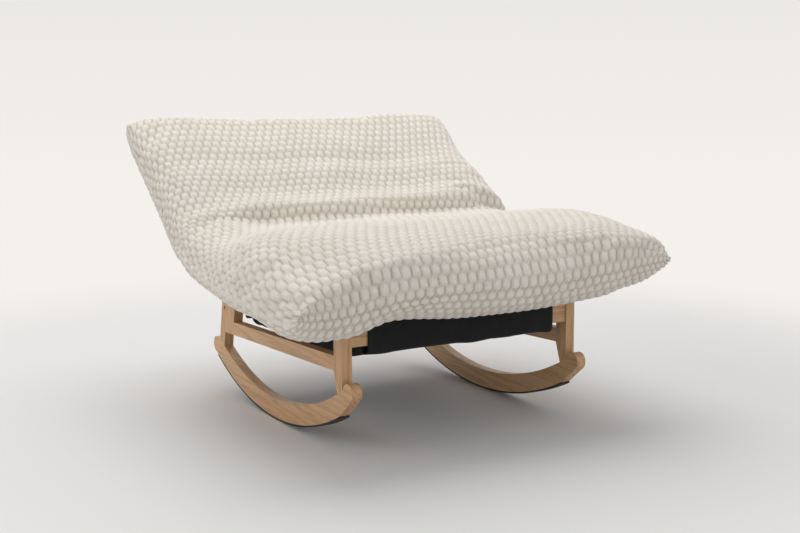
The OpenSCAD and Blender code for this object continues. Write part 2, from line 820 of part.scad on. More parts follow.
// A closed skin over rings of points, with a flat fan on the first and the last ring
module skin(rings) {
    m = len(rings[0]);
    n = len(rings);
    first = n * m;
    points = concat([for (r = rings) each r],
        [for (r = [rings[0], rings[n - 1]]) [for (p = r) 1] * r / m]);
    sides = [for (j = [0 : n - 2], i = [0 : m - 1])
        let (a = j * m + i, b = j * m + (i + 1) % m)
        each [[a, b, a + m], [b, b + m, a + m]]];
    ends = [for (i = [0 : m - 1])
        let (a = i, b = (i + 1) % m, c = (n - 1) * m)
        each [[b, a, first], [c + a, c + b, first + 1]]];
    polyhedron(points = points, faces = concat(sides, ends), convexity = 6);
}

// Keeps a point of the seat out of what the back cushion sweeps, as far as reach from the axis
function clear_of_back(p, reach) =
    let (q = p - [hinge_y, hinge_z],
         along = [cos(back_tilt_max), sin(back_tilt_max)],
         out = [-sin(back_tilt_max), cos(back_tilt_max)],
         s = q * along,
         n = q * out,
         r = norm(q))
    s > 0 ? (n < reach ? [hinge_y, hinge_z] + s * along + reach * out : p)
        : (r < reach ? [hinge_y, hinge_z] + q * reach / r : p);

seat_rear_top = clear_of_back([hinge_y - roll_r / 2, seat_back_z], roll_r + roll_gap);
seat_rear_low = [hinge_y - roll_r, seat_floor];
seat_lip_y = -front_foot_y - roll_gap;

seat_brow_z = seat_top_z - brow_drop;

// The outline at the mid-plane; the handles of its curves are shares of the heights they cross
seat_outline = let (
        low_h = seat_floor - seat_low_z,
        nose_h = seat_nose_z - seat_low_z,
        brow_h = seat_brow_z - seat_nose_z,
        crown_h = seat_top_z - seat_back_z,
        lip = [seat_lip_y, seat_floor],
        nose = [-seat_nose_y, seat_nose_z],
        brow = [-seat_nose_y + brow_in, seat_brow_z],
        crown = [-seat_nose_y + 3.2 * brow_in, seat_top_z + 0.8 * crown_h])
    concat(
        line(seat_rear_low, lip, 6),
        bow(lip, lip - [0.3 * low_h, 1.45 * low_h], nose - [0.05 * nose_h, 1.05 * nose_h], nose, 8),
        bow(nose, nose + [-0.1, 0.6] * brow_h, brow - [0.56 * brow_in, 0.15 * brow_h], brow, 7),
        bow(brow, brow + [0.75 * brow_in, brow_drop], crown, seat_rear_top, 8),
        line(seat_rear_top, seat_rear_low, 6));

// Half width of a cushion, where share is the way along it from one end to the other
function side_x(share) = cushion_w / 2 - side_draw * (1 - pow(2 * min(1, max(0, share)) - 1, 2));

// How far the underside hangs at the point p of the seat's outline and the place u across it:
// it droops in front and lifts towards the rear, but only beside the wooden frame
droop_x = frame_w / 2 + stock_t;
function droop(p, u) = let (
        way = min(1, max(0, (p[0] - seat_lip_y * 0.8) / (seat_rear_low[0] - seat_lip_y * 0.8))),
        beside = min(1, max(0, (abs(u) * cushion_w / 2 - droop_x) / (2 * stock_t))),
        under = max(0, 1 - (p[1] - seat_floor) / (seat_top_z - seat_floor)))
    p[0] < seat_lip_y ? 0 : beside * under * (side_droop - (side_droop + side_lift) * pow(way, 1.5));

module seat_cushion() {
    middle = seat_nose_z;
    length = seat_nose_y + hinge_y;
    corner_l = 1.5 * brow_in;
    color(cream) skin([for (u = edge_steps(9)) [for (p = seat_outline)
        let (inward = min(1, (p[0] + seat_nose_y) / corner_l),
             way = inward * (2 - inward),
             corner = p[1] > middle ? corner_share : corner_under,
             share = puff(u, corner + (side_share - corner) * way, 4 + 4 * way),
             q = clear_of_back([p[0], middle + (p[1] - middle) * share - droop(p, u)],
                 roll_r + roll_gap))
        [u * side_x((p[0] + seat_nose_y) / length), q[0], q[1]]]]);
}

// Half thickness of the back frame with its straps, and room for the hinge under the roll
back_rest_n = tube_r + strap_t + 2 * soft_gap;
hinge_room = bracket_r + roll_gap;
roll_angle = 127;

// The outline at the mid-plane, as distance from the hinge axis and height over the frame plane:
// up from the roll over the crease, the fold, the hollow and the valley to the neck and the top
back_outline = let (
        chin = [0, roll_r],
        crease = [0.14 * back_len, fold_n - crease_drop],
        fold = [0.23 * back_len, fold_n],
        waist = [back_len / 3, back_hollow_n],
        swell = [back_len / 2, back_hollow_n + 3],
        valley = [0.6 * back_len, back_hollow_n + 3 - valley_drop],
        neck = [back_len - neck_in, back_top_n - 3],
        chest = neck[0] - valley[0],
        top = [back_len - 12, back_top_n - 14],
        heel = [back_len - 20, back_rest_n + 3],
        head = top[0] - neck[0],
        thick = top[1] - heel[1],
        shin = [back_leg_s + 2 * tube_d, back_rest_n])
    concat(
        [for (k = [0 : 4]) let (a = roll_angle - k * (roll_angle - 90) / 5)
            roll_r * [cos(a), sin(a)]],
        wave(chin, crease, 3),
        wave(crease, fold, 4),
        wave(fold, waist, 3),
        wave(waist, swell, 3),
        wave(swell, valley, 3),
        bow(valley, valley + [0.3 * chest, 1], neck - [0.4 * chest, -8], neck, 4),
        bow(neck, neck + [0.47, 0.05] * head, top + [-0.2, 0.2] * thick, top, 4),
        bow(top, top + [0.22, -0.31] * thick, heel + [0.34, 0.25] * thick, heel, 6),
        line(heel, shin, 6),
        [shin, [hinge_room, hinge_room], [-hinge_room / 2, hinge_room]]);

module back_cushion() {
    color(cream) on_back() skin([for (u = edge_steps(9)) [for (p = back_outline)
        let (f = puff(u, side_share))
        [u * side_x(p[0] / back_len), p[0], back_seam_n + (p[1] - back_seam_n) * f]]]);
}

// A thin padded panel behind the back frame, whose side and top edges turn up to the cushion
module back_panel() {
    flat_x = (back_leg_x + tube_r + strap_t + nut_h) / (cushion_w / 2);
    flat_s = back_top_s + tube_r + strap_t;
    low = back_leg_s + 2 * roll_gap;
    high = back_len - roll_gap;
    stops = concat(line(low, flat_s, 5), [flat_s, (flat_s + high) / 2, high]);
    function rise(out, s) =
        panel_rise * pow(max(out, (s - flat_s) / (high - flat_s), 0), 1.5);
    color(cream) on_back() skin([for (u = edge_steps(9)) let (
            out = (abs(u) - flat_x) / (1 - flat_x),
            thick = panel_t * (1 - max(0, out) / 2),
            x = [for (s = stops) u * (side_x(s / back_len) - roll_gap)],
            n = [for (s = stops) rise(out, s) - back_rest_n],
            last = len(stops) - 1)
        concat(
            [for (k = [0 : last]) [x[k], stops[k], n[k]]],
            [for (k = [last : -1 : 0]) [x[k], stops[k], n[k] - thick]])]);
}

// Black bag and cloth between the rails

// Room for the cloth and a strap between the bag and the face of a rail
bag_room = stock_t / 2 + cloth_t + strap_t + 3 * soft_gap;
bag_front = front_rail_y + bag_room;
function bag_rear(z) = rear_rail_y(z) - bag_room / cos(rear_rake);
bag_top = seat_floor - soft_gap;
bag_heel_z = bag_low_z + bag_heel;
// Radius by which the upper edges of the bag are rounded off
bag_edge = 12;

// Underside of the bag from front to back, with its two bellies on either side of the groove
bag_bellies = let (
        start = [bag_front, bag_front_z],
        one = [groove_y - bag_edge - tube_d / 2, bag_low_z],
        dip = [groove_y, bag_low_z + groove_h],
        two = [groove_y + 2 * bag_edge, bag_low_z + 2],
        end = [bag_rear(bag_heel_z), bag_heel_z],
        drop = bag_front_z - bag_low_z)
    concat(
        bow(start, start + [1.1, -0.8] * drop, [0, bag_low_z - 0.15 * drop], one, 9),
        [one, dip],
        bow(two, two + [0.36, -0.15] * drop, end - [0.4, 0.44] * drop, end, 6));

bag_outline = let (
        back = [bag_rear(deck_z) - bag_edge, bag_top],
        front = [bag_front + bag_edge, bag_top])
    concat(bag_bellies,
        [[bag_rear(bag_heel_z), bag_heel_z], [bag_rear(deck_z), deck_z - bag_edge / 2]],
        line(back, front, 6),
        [front, [bag_front, bag_top - bag_edge]]);

module seat_bag() {
    middle = (bag_top + bag_low_z) / 2;
    side = 0.82;
    color(black) skin([for (u = edge_steps(7)) [for (p = bag_outline)
        let (z = middle + (p[1] - middle) * puff(u, side))
        [u * bag_x, min(p[0], bag_rear(z)), z]]]);
}

// A strap under the bag that spans its groove and runs up the faces of both cross rails
module bag_strap_profile() {
    span = [for (p = bag_bellies) if (abs(p[0] - groove_y) > bag_edge) p - [0, soft_gap]];
    front = bag_front - soft_gap;
    over = concat(
        [[front, bag_front_z + strap_up], [front, bag_front_z - soft_gap]],
        [for (k = [1 : len(span) - 1]) span[k]],
        [for (z = [bag_heel_z, bag_heel_z + strap_up]) [bag_rear(z) + soft_gap, z]]);
    last = len(over) - 1;
    under = [for (k = [last : -1 : 0])
        over[k] + strap_t * (k < 1 ? [-1, 0] : k < 2 ? [-1, -1] : k > last - 2 ? [1, 0] : [0, -1])];
    polygon(concat(over, under));
}

module bag_straps() {
    outer = bag_x - bag_strap_in;
    color(webbing) for (k = [0 : bag_straps_n - 1])
        let (x = outer * (2 * k / (bag_straps_n - 1) - 1))
            across(x - bag_strap_w / 2, x + bag_strap_w / 2) bag_strap_profile();
}

// Cloth that hangs round a rail: a slack loop open at the top, which ends a cloth's thickness
// below the top of the rail, and reaches as far as hang below a rail of height h
module cloth_loop(h, hang) {
    half = stock_t / 2 + soft_gap;
    outer = half + cloth_t;
    low = deck_z - h - hang + outer;
    difference() {
        union() {
            translate([-outer, low]) square([2 * outer, deck_z - cloth_t - low]);
            translate([0, low]) circle(outer);
        }
        translate([-half, low]) square([2 * half, deck_z]);
        translate([0, low]) circle(half);
    }
}

module front_rail_cloth() {
    color(black) across(-cloth_x, cloth_x) translate([front_rail_y, 0])
        cloth_loop(front_rail_h, cloth_hang);
}

module rear_rail_cloth() {
    color(black) across(-cloth_x, cloth_x)
        translate([rear_rail_y(deck_z), deck_z]) rotate(rear_rake) translate([0, -deck_z])
            cloth_loop(rear_rail_h, cloth_hang);
}

left_runner();
right_runner();
left_runner_strip();
right_runner_strip();
left_front_post();
right_front_post();
left_rear_post();
right_rear_post();
left_side_rail();
right_side_rail();
front_cross_rail();
rear_cross_rail();
frame_dowels();
cross_rail_bolts();
barrel_nuts();
seat_frame();
hold_down_bolts();
left_hinge_bracket();
right_hinge_bracket();
bracket_bolts();
bracket_nuts();
friction_discs();
hinge_bolts();
hinge_nuts();
front_rail_cloth();
rear_rail_cloth();
bag_straps();
seat_bag();
seat_cushion();
left_hinge_arm();
right_hinge_arm();
arm_bolts();
arm_nuts();
back_frame();
back_straps();
back_cushion();
back_panel();
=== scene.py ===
"""Dresses the padded rocking chair: plush cover, timber, black cloth and steel on its frame."""

import json
import math

import bpy
import numpy as np
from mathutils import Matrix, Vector


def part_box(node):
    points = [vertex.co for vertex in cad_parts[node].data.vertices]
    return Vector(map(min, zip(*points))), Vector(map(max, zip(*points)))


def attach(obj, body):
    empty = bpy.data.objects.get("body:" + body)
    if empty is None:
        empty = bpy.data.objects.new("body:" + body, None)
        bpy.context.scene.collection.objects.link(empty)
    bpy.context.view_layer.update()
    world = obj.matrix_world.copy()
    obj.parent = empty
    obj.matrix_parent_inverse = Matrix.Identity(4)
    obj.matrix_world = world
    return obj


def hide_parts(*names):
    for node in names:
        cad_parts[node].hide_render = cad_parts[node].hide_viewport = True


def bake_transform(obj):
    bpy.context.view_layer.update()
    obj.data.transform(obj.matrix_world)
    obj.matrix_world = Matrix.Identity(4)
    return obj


bl_info = {
    "name": "Padded rocking chair",
    "version": (1, 0, 0),
    "blender": (4, 5, 0),
    "location": "3D View > Sidebar > Rocking chair",
    "description": "Builds the plush cover, the cloth and the finishes of a padded rocking chair",
    "category": "Object",
}

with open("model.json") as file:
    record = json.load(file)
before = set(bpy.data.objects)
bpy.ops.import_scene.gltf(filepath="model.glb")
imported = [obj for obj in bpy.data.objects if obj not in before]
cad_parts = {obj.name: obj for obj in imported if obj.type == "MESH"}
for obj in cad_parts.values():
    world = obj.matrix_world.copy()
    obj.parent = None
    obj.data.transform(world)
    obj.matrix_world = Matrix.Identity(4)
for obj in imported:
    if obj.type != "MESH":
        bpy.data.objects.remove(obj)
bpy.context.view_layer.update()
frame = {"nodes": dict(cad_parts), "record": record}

SEAT_LOW, SEAT_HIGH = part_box("seat_cushion")
TUBE_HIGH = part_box("seat_frame")[1]
HINGE = frame["record"]["behaviour"]["joints"][0]["pos_m"]
BASE = "base"

# Samples of the cover's mesh in one bubble: across it on the face, across it underneath, along it
ACROSS_TOP = 6
ACROSS_UNDER = 4
ALONG = 4
# Spacing of the bubbles, and the length along the surface from the mid-plane to the seam that the
# columns of bubbles are spaced for; where the cover is slimmer they crowd at the seam
PITCH_ACROSS, PITCH_ALONG = 0.0293, 0.0267
SPACED_FOR = 0.65
# The filling starts in a cover that is this much slimmer, has this many frames to blow it up, and
# moves no point further than the cap
FILLING_INSET = 0.001
FILLING_FRAMES = 20
FILLING_CAP = 0.008
# Heights, as shares of a bubble's: where the cross-sections lie, and where a side seam does
MEAN_LEVEL = 0.75
SEAM_LEVEL = 0.7
# The share of its lumps that the underside does without
UNDERSIDE_CALM = 0.85

# Cross-sections of the seat from its nose to the crease, as points (y, z) in metres: the face at
# the mid-plane, the side seam, the underside between the side frames and the one outside them
SEAT_RIBS = [
    [(-0.572, 0.430)] * 4,
    [(-0.570, 0.462), (-0.567, 0.424), (-0.570, 0.398), (-0.569, 0.402)],
    [(-0.551, 0.489), (-0.547, 0.412), (-0.558, 0.360), (-0.555, 0.368)],
    [(-0.504, 0.507), (-0.502, 0.400), (-0.520, 0.331), (-0.515, 0.338)],
    [(-0.455, 0.516), (-0.455, 0.390), (-0.470, 0.321), (-0.462, 0.330)],
    [(-0.412, 0.524), (-0.412, 0.385), (-0.420, 0.341), (-0.412, 0.332)],
    [(-0.370, 0.531), (-0.370, 0.384), (-0.388, 0.354), (-0.370, 0.337)],
    [(-0.250, 0.544), (-0.250, 0.390), (-0.250, 0.354), (-0.250, 0.348)],
    [(-0.100, 0.538), (-0.100, 0.402), (-0.100, 0.354), (-0.100, 0.361)],
    [(0.050, 0.522), (0.050, 0.425), (0.050, 0.354), (0.050, 0.384)],
    [(0.104, 0.517), (0.104, 0.435), (0.095, 0.368), (0.104, 0.397)],
    [(0.140, 0.516), (0.136, 0.441), (0.125, 0.395), (0.134, 0.407)],
    [(0.164, 0.518), (0.156, 0.445), (0.150, 0.411), (0.155, 0.415)],
]

# The same for the back, from the crease to the top edge, as distances from the hinge axis and
# heights over the plane of the back frame
BACK_RIBS = [
    [(0.098, 0.107), (0.040, 0.053), (0.018, 0.029), (0.022, 0.031)],
    [(0.112, 0.118), (0.052, 0.047), (0.029, 0.019), (0.035, 0.026)],
    [(0.138, 0.129), (0.073, 0.040), (0.042, 0.000), (0.054, 0.021)],
    [(0.174, 0.116), (0.106, 0.035), (0.054, -0.022), (0.087, 0.017)],
    [(0.203, 0.105), (0.142, 0.033), (0.083, -0.023), (0.122, 0.014)],
    [(0.306, 0.104), (0.226, 0.033), (0.190, -0.022), (0.219, 0.013)],
    [(0.363, 0.100), (0.284, 0.033), (0.246, -0.022), (0.276, 0.012)],
    [(0.408, 0.103), (0.329, 0.033), (0.290, -0.023), (0.321, 0.011)],
    [(0.519, 0.099), (0.443, 0.033), (0.405, -0.025), (0.442, 0.008)],
    [(0.567, 0.095), (0.504, 0.034), (0.475, -0.028), (0.503, 0.006)],
    [(0.588, 0.088), (0.548, 0.038), (0.548, -0.028), (0.560, 0.006)],
    [(0.599, 0.074), (0.582, 0.048), (0.590, -0.004), (0.597, 0.026)],
    [(0.601, 0.056)] * 4,
]
BACK_TILT = math.radians(38)

# Where the cover lies unevenly, ribs move: for the number of a rib, the shifts (y, z) of its face,
# its side seam and its two undersides. What a table leaves out keeps its place
RIGHT_NOSE = {
    1: [(0.004, 0.004)], 2: [(0.010, 0.009)], 3: [(0.009, 0.012)], 4: [(0.0, 0.012)],
    5: [(0.0, 0.009)], 6: [(0.0, 0.005)],
}
RIGHT_REAR = {
    8: [(0.0, 0.002)], 9: [(0.0, 0.008)], 10: [(0.0, 0.009)], 11: [(0.0, 0.008)],
    12: [(0.0, 0.005)], 13: [(0.0, 0.002)], 15: [(-0.004, 0.006)],
    16: [(-0.011, 0.014), (0.0, 0.004)], 17: [(-0.014, 0.018), (-0.004, 0.008)],
    18: [(-0.011, 0.014), (-0.006, 0.009)], 19: [(-0.006, 0.008), (-0.003, 0.004)],
}
LEFT_CREASE = {
    9: [(0.0, 0.003)], 10: [(0.0, 0.010)], 11: [(0.0, 0.015)], 12: [(0.0, 0.018)],
    13: [(-0.002, 0.014)], 14: [(0.0, 0.002)], 15: [(0.008, -0.014)], 16: [(0.006, -0.010)],
}
LEFT_DROOP = {
    rib: [(0.0, 0.0), (0.0, -seam), (0.0, -under), (0.0, -under)]
    for rib, seam, under in [
        (2, 0.004, 0.006), (3, 0.004, 0.004), (4, 0.006, 0.006), (5, 0.010, 0.010),
        (6, 0.015, 0.018), (7, 0.022, 0.032), (8, 0.024, 0.036), (9, 0.022, 0.030),
        (10, 0.016, 0.018), (11, 0.008, 0.008)]
}

# Folds in the cover: height, start (x, y), end (x, y), width
FOLDS = [
    (-0.004, (0.34, 0.338), (0.54, 0.322), 0.010),
    (-0.005, (0.37, 0.275), (0.50, 0.235), 0.010),
    (-0.006, (0.38, 0.222), (0.53, 0.175), 0.010),
    (0.006, (0.37, 0.248), (0.52, 0.205), 0.014),
    (0.005, (0.40, 0.190), (0.55, 0.140), 0.014),
    (-0.005, (-0.56, 0.130), (-0.40, 0.205), 0.012),
]

# Cross-sections of the bag from front to back: its top, its side seam and its underside
BAG_RIBS = [
    [(-0.368, 0.305)] * 3,
    [(-0.369, 0.335), (-0.369, 0.305), (-0.369, 0.275)],
    [(-0.360, 0.351), (-0.362, 0.304), (-0.364, 0.258)],
    [(-0.330, 0.3525), (-0.330, 0.300), (-0.330, 0.235)],
    [(-0.250, 0.3525), (-0.250, 0.295), (-0.250, 0.214)],
    [(-0.100, 0.3525), (-0.100, 0.290), (-0.100, 0.2055)],
    [(0.040, 0.3525), (0.040, 0.290), (0.040, 0.2035)],
    [(0.130, 0.3525), (0.130, 0.292), (0.140, 0.2035)],
    [(0.170, 0.3525), (0.170, 0.294), (0.176, 0.2085)],
    [(0.198, 0.3525), (0.198, 0.296), (0.198, 0.232)],
    [(0.224, 0.3525), (0.224, 0.295), (0.222, 0.2065)],
    [(0.262, 0.3525), (0.262, 0.294), (0.262, 0.2015)],
    [(0.290, 0.351), (0.300, 0.292), (0.306, 0.208)],
    [(0.306, 0.335), (0.314, 0.292), (0.322, 0.240)],
    [(0.314, 0.292)] * 3,
]


# User settings

class CoverSettings(bpy.types.PropertyGroup):
    """Sizes and colour of the plush cover"""
    half_width: bpy.props.FloatProperty(
        name="Half width", description="Distance from the mid-plane to the side seam",
        default=SEAT_HIGH[0], unit="LENGTH")
    bubbles: bpy.props.IntProperty(
        name="Bubbles across", description="Number of bubbles from one side seam to the other",
        default=47, min=20, max=48)
    rows: bpy.props.IntProperty(
        name="Rows", description="Rows of bubbles from the nose of the seat to the top of the back",
        default=50, min=20, max=52)
    bubble_height: bpy.props.FloatProperty(
        name="Bubble height", description="How far a bubble stands above the stitching round it",
        default=0.0064, unit="LENGTH")
    bubble_edge: bpy.props.FloatProperty(
        name="Bubble edge", description="Width of the rounded edge of a bubble",
        default=0.0130, unit="LENGTH")
    colour: bpy.props.FloatVectorProperty(
        name="Plush colour", description="Colour of the pile", subtype="COLOR",
        default=(0.95, 0.91, 0.83), min=0, max=1)
    # Painted shade: the colour the pile is darkened to down between the bubbles, where shade falls
    shade: bpy.props.FloatVectorProperty(
        name="Shade colour", description="Colour of the pile down between the bubbles",
        subtype="COLOR", default=(0.66, 0.575, 0.46), min=0, max=1)


class TimberSettings(bpy.types.PropertyGroup):
    """Colours of the wooden frame"""
    pale: bpy.props.FloatVectorProperty(
        name="Pale wood", description="Colour between the grain lines", subtype="COLOR",
        default=(0.675, 0.412, 0.203), min=0, max=1)
    dark: bpy.props.FloatVectorProperty(
        name="Grain", description="Colour of the grain lines", subtype="COLOR",
        default=(0.43, 0.235, 0.10), min=0, max=1)


class ClothSettings(bpy.types.PropertyGroup):
    """Colours of the black cloth, the bag and the webbing"""
    colour: bpy.props.FloatVectorProperty(
        name="Cloth colour", description="Colour of the black cloth", subtype="COLOR",
        default=(0.0085, 0.0085, 0.0105), min=0, max=1)
    webbing: bpy.props.FloatVectorProperty(
        name="Webbing colour", description="Colour of the woven straps", subtype="COLOR",
        default=(0.02, 0.02, 0.022), min=0, max=1)
    thickness: bpy.props.FloatProperty(
        name="Cloth thickness", description="Thickness of the black cloth", default=0.0012,
        unit="LENGTH")


class StageSettings(bpy.types.PropertyGroup):
    """Camera, floor and lamps"""
    camera_at: bpy.props.FloatVectorProperty(
        name="Camera place", description="Where the camera stands", subtype="XYZ",
        unit="LENGTH", default=(-1.6192, -2.8223, 0.8640))
    yaw: bpy.props.FloatProperty(
        name="Camera turn", description="Angle of the view to the right of straight back",
        default=math.radians(30.54), unit="ROTATION")
    pitch: bpy.props.FloatProperty(
        name="Camera tilt", description="Angle of the view below level",
        default=math.radians(8.155), unit="ROTATION")
    lens: bpy.props.FloatProperty(
        name="Focal length", description="Focal length on a 36 mm wide sensor, in millimetres",
        default=51.38)
    floor: bpy.props.FloatVectorProperty(
        name="Floor colour", description="Colour of the floor and backdrop", subtype="COLOR",
        default=(0.80, 0.79, 0.775), min=0, max=1)


# Small helpers for node trees

def new_group(name, **inputs):
    """A shader node group for a surface, with a place, those numbers and colours as its inputs."""
    group = bpy.data.node_groups.new(name, "ShaderNodeTree")
    group.interface.new_socket("Vector", in_out="INPUT", socket_type="NodeSocketVector")
    for label, value in inputs.items():
        kind = "Color" if isinstance(value, tuple) else "Float"
        socket = group.interface.new_socket(label, in_out="INPUT", socket_type="NodeSocket" + kind)
        socket.default_value = value
    for label, kind in (("Color", "Color"), ("Roughness", "Float"), ("Height", "Float")):
        group.interface.new_socket(label, in_out="OUTPUT", socket_type="NodeSocket" + kind)
    given = group.nodes.new("NodeGroupInput").outputs
    return group, given, given["Vector"]


def put_out(group, **values):
    """Links the outputs of a group, and gives the group back."""
    out = group.nodes.new("NodeGroupOutput").inputs
    for label, value in values.items():
        group.links.new(value, out[label])
    return group


def feed(tree, socket, value):
    """Links another node's socket to a socket, or sets the socket's own value."""
    if isinstance(value, bpy.types.NodeSocket):
        tree.links.new(value, socket)
    else:
        socket.default_value = value


def node(tree, kind, links=None, **values):
    """A node of that kind; values set its properties, and links its inputs by name or number."""
    made = tree.nodes.new("ShaderNode" + kind)
    for key, value in values.items():
        setattr(made, key, value)
    for key, value in (links or {}).items():
        feed(tree, made.inputs[key], value)
    return made


def math_node(tree, operation, a, b=0.0, clamp=False):
    return node(tree, "Math", {0: a, 1: b}, operation=operation, use_clamp=clamp).outputs[0]


def times(tree, a, b):
    return math_node(tree, "MULTIPLY", a, b)


def plus(tree, a, b, clamp=False):
    return math_node(tree, "ADD", a, b, clamp)


def noise(tree, vector, scale, detail, roughness=0.5):
    return node(tree, "TexNoise", {"Vector": vector, "Scale": scale, "Detail": detail,
                                   "Roughness": roughness}).outputs


def stretched(tree, vector, scale):
    return node(tree, "Mapping", {"Vector": vector, "Scale": scale}).outputs[0]


def mix_colour(tree, factor, a, b):
    made = node(tree, "Mix", {0: factor}, data_type="RGBA")
    for index, value in ((6, a), (7, b)):
        solid = not isinstance(value, bpy.types.NodeSocket)
        feed(tree, made.inputs[index], (*value, 1) if solid else value)
    return made.outputs[2]


def ramp(tree, factor, stops):
    """A colour ramp through (position, grey level) stops, as a grey value."""
    made = node(tree, "ValToRGB", {0: factor})
    elements = made.color_ramp.elements
    while len(elements) < len(stops):
        elements.new(0.5)
    for element, (place, level) in zip(elements, stops):
        element.position = place
        element.color = (level, level, level, 1)
    return made.outputs[0]


def new_material(name):
    """A material with a Principled shader, and the place of a point on the resting chair."""
    material = bpy.data.materials.new(name)
    material.use_nodes = True
    tree = material.node_tree
    tree.nodes.clear()
    shader = node(tree, "BsdfPrincipled")
    node(tree, "OutputMaterial", {0: shader.outputs[0]})
    return material, tree, shader, node(tree, "TexCoord").outputs["Object"]


# Shared effects

def timber_group():
    """Sawn and sanded timber whose grain runs along the X axis of its vector."""
    tree, given, place = new_group("Timber grain", Pale=(0.5, 0.3, 0.2, 1),
                                   Dark=(0.3, 0.2, 0.1, 1), Board=0.0)
    shift = node(tree, "CombineXYZ", {axis: given["Board"] for axis in range(3)}).outputs[0]
    moved = node(tree, "VectorMath", {0: place, 1: shift}, operation="ADD").outputs[0]
    long_way = stretched(tree, moved, (1.6, 22, 22))
    waver = noise(tree, long_way, 1.3, 3)["Color"]
    bent = node(tree, "VectorMath", {0: long_way, 1: waver}, operation="ADD").outputs[0]
    bands = node(tree, "TexWave", {"Vector": bent, "Scale": 1.15, "Distortion": 5.5,
                                   "Detail": 2.5, "Detail Scale": 0.9, "Detail Roughness": 0.55},
                 wave_type="BANDS", bands_direction="DIAGONAL").outputs["Fac"]
    pores = noise(tree, stretched(tree, moved, (14, 420, 420)), 1, 4, 0.65)["Fac"]
    clouds = noise(tree, stretched(tree, moved, (3, 16, 16)), 1, 2)["Fac"]
    grain = times(tree, ramp(tree, bands, [(0.25, 0.05), (0.62, 0.42), (0.9, 1.0)]), 0.42)
    dots = ramp(tree, pores, [(0.40, 1.0), (0.56, 0.0)])
    shade = plus(tree, plus(tree, grain, times(tree, dots, 0.34)), times(tree, clouds, 0.42))
    shade = math_node(tree, "SUBTRACT", shade, 0.12, clamp=True)
    return put_out(tree, Color=mix_colour(tree, shade, given["Pale"], given["Dark"]),
                   Roughness=plus(tree, times(tree, dots, 0.16), 0.40),
                   Height=times(tree, plus(tree, dots, grain), -1.0))


def pile_group():
    """Short fleecy pile: fine tufts, with slow changes where the pile lies another way, and painted
    shade down between the bubbles, where the crown is low.
    """
    tree, given, place = new_group("Plush pile", Color=(0.8, 0.8, 0.8, 1),
                                   Shade=(0.6, 0.6, 0.6, 1), Crown=1.0)
    tufts = noise(tree, place, 620, 4, 0.72)["Fac"]
    locks = noise(tree, place, 170, 3, 0.6)["Fac"]
    lie = noise(tree, place, 9, 3, 0.55)["Fac"]
    # Painted shade: where the crown is low, down between the bubbles, the pile is mixed towards the
    # shade colour
    depth = ramp(tree, given["Crown"], [(0.0, 1.0), (0.5, 0.30), (0.95, 0.0)])
    fleck = ramp(tree, locks, [(0.30, 0.30), (0.60, 0.0)])
    slow = ramp(tree, lie, [(0.35, 0.16), (0.65, 0.0)])
    fine = ramp(tree, tufts, [(0.32, 0.26), (0.58, 0.0)])
    shade = plus(tree, plus(tree, times(tree, depth, 0.85), fleck), slow)
    shade = plus(tree, shade, fine, clamp=True)
    return put_out(tree, Color=mix_colour(tree, shade, given["Color"], given["Shade"]),
                   Roughness=plus(tree, times(tree, fleck, 0.3), 0.88),
                   Height=plus(tree, tufts, times(tree, locks, 1.6)))


def weave_group():
    """Plain weave of that thread pitch, with uneven threads and a little lint."""
    tree, given, place = new_group("Cloth weave", Color=(0.02, 0.02, 0.02, 1),
                                   Lint=(0.2, 0.2, 0.2, 1), Threads=700.0)
    axes = node(tree, "SeparateXYZ", {0: place}).outputs
    along = times(tree, axes[0], given["Threads"])
    down = times(tree, plus(tree, axes[1], axes[2]), given["Threads"])
    warp, weft = (math_node(tree, "SINE", times(tree, way, math.pi)) for way in (along, down))
    uneven = noise(tree, place, 60, 4)["Fac"]
    lint = noise(tree, place, 300, 5, 0.7)["Fac"]
    worn = ramp(tree, uneven, [(0.3, 0.0), (0.8, 0.16)])
    amount = plus(tree, ramp(tree, lint, [(0.62, 0.0), (0.78, 0.5)]), worn)
    return put_out(tree, Color=mix_colour(tree, amount, given["Color"], given["Lint"]),
                   Roughness=plus(tree, times(tree, worn, 0.5), 0.82),
                   Height=plus(tree, times(tree, warp, weft), uneven))


def speckle_group():
    """Fine orange peel or plating grain, with faint scuffs and dust."""
    tree, given, place = new_group("Fine speckle", Color=(0.1, 0.1, 0.1, 1),
                                   Worn=(0.3, 0.3, 0.3, 1), Grain=900.0, Base=0.4)
    scuff = noise(tree, place, 45, 6, 0.7)["Fac"]
    worn = ramp(tree, scuff, [(0.52, 0.0), (0.75, 0.55)])
    return put_out(tree, Color=mix_colour(tree, worn, given["Color"], given["Worn"]),
                   Roughness=plus(tree, given["Base"], times(tree, worn, 0.25)),
                   Height=noise(tree, place, given["Grain"], 3)["Fac"])


GROUP_MAKERS = {"Timber grain": timber_group, "Plush pile": pile_group,
                "Cloth weave": weave_group, "Fine speckle": speckle_group}


def finish_with(effect, tree, shader, inputs, bump, values):
    """Gives a shader the colour, roughness and height of a shared effect, which is built when it is
    first asked for. bump is the strength and the distance of its height, and values are set on the
    shader itself."""
    group = bpy.data.node_groups.get(effect) or GROUP_MAKERS[effect]()
    given = node(tree, "Group", inputs, node_tree=group).outputs
    raised = node(tree, "Bump", {"Strength": bump[0], "Distance": bump[1],
                                 "Height": given["Height"]}).outputs[0]
    linked = {"Base Color": given["Color"], "Roughness": given["Roughness"], "Normal": raised}
    for key, value in {**linked, **values}.items():
        feed(tree, shader.inputs[key], value)


# Materials

def timber(name, turn, board):
    """Timber with its grain turned to run along the piece; board picks another stretch of it."""
    settings = bpy.context.scene.chair_timber
    material, tree, shader, place = new_material(name)
    along = node(tree, "Mapping", {"Vector": place, "Rotation": turn}).outputs[0]
    finish_with("Timber grain", tree, shader,
                {"Vector": along, "Pale": (*settings.pale, 1), "Dark": (*settings.dark, 1),
                 "Board": board},
                (0.25, 0.0004), {"Coat Weight": 0.12, "Coat Roughness": 0.32})
    return material


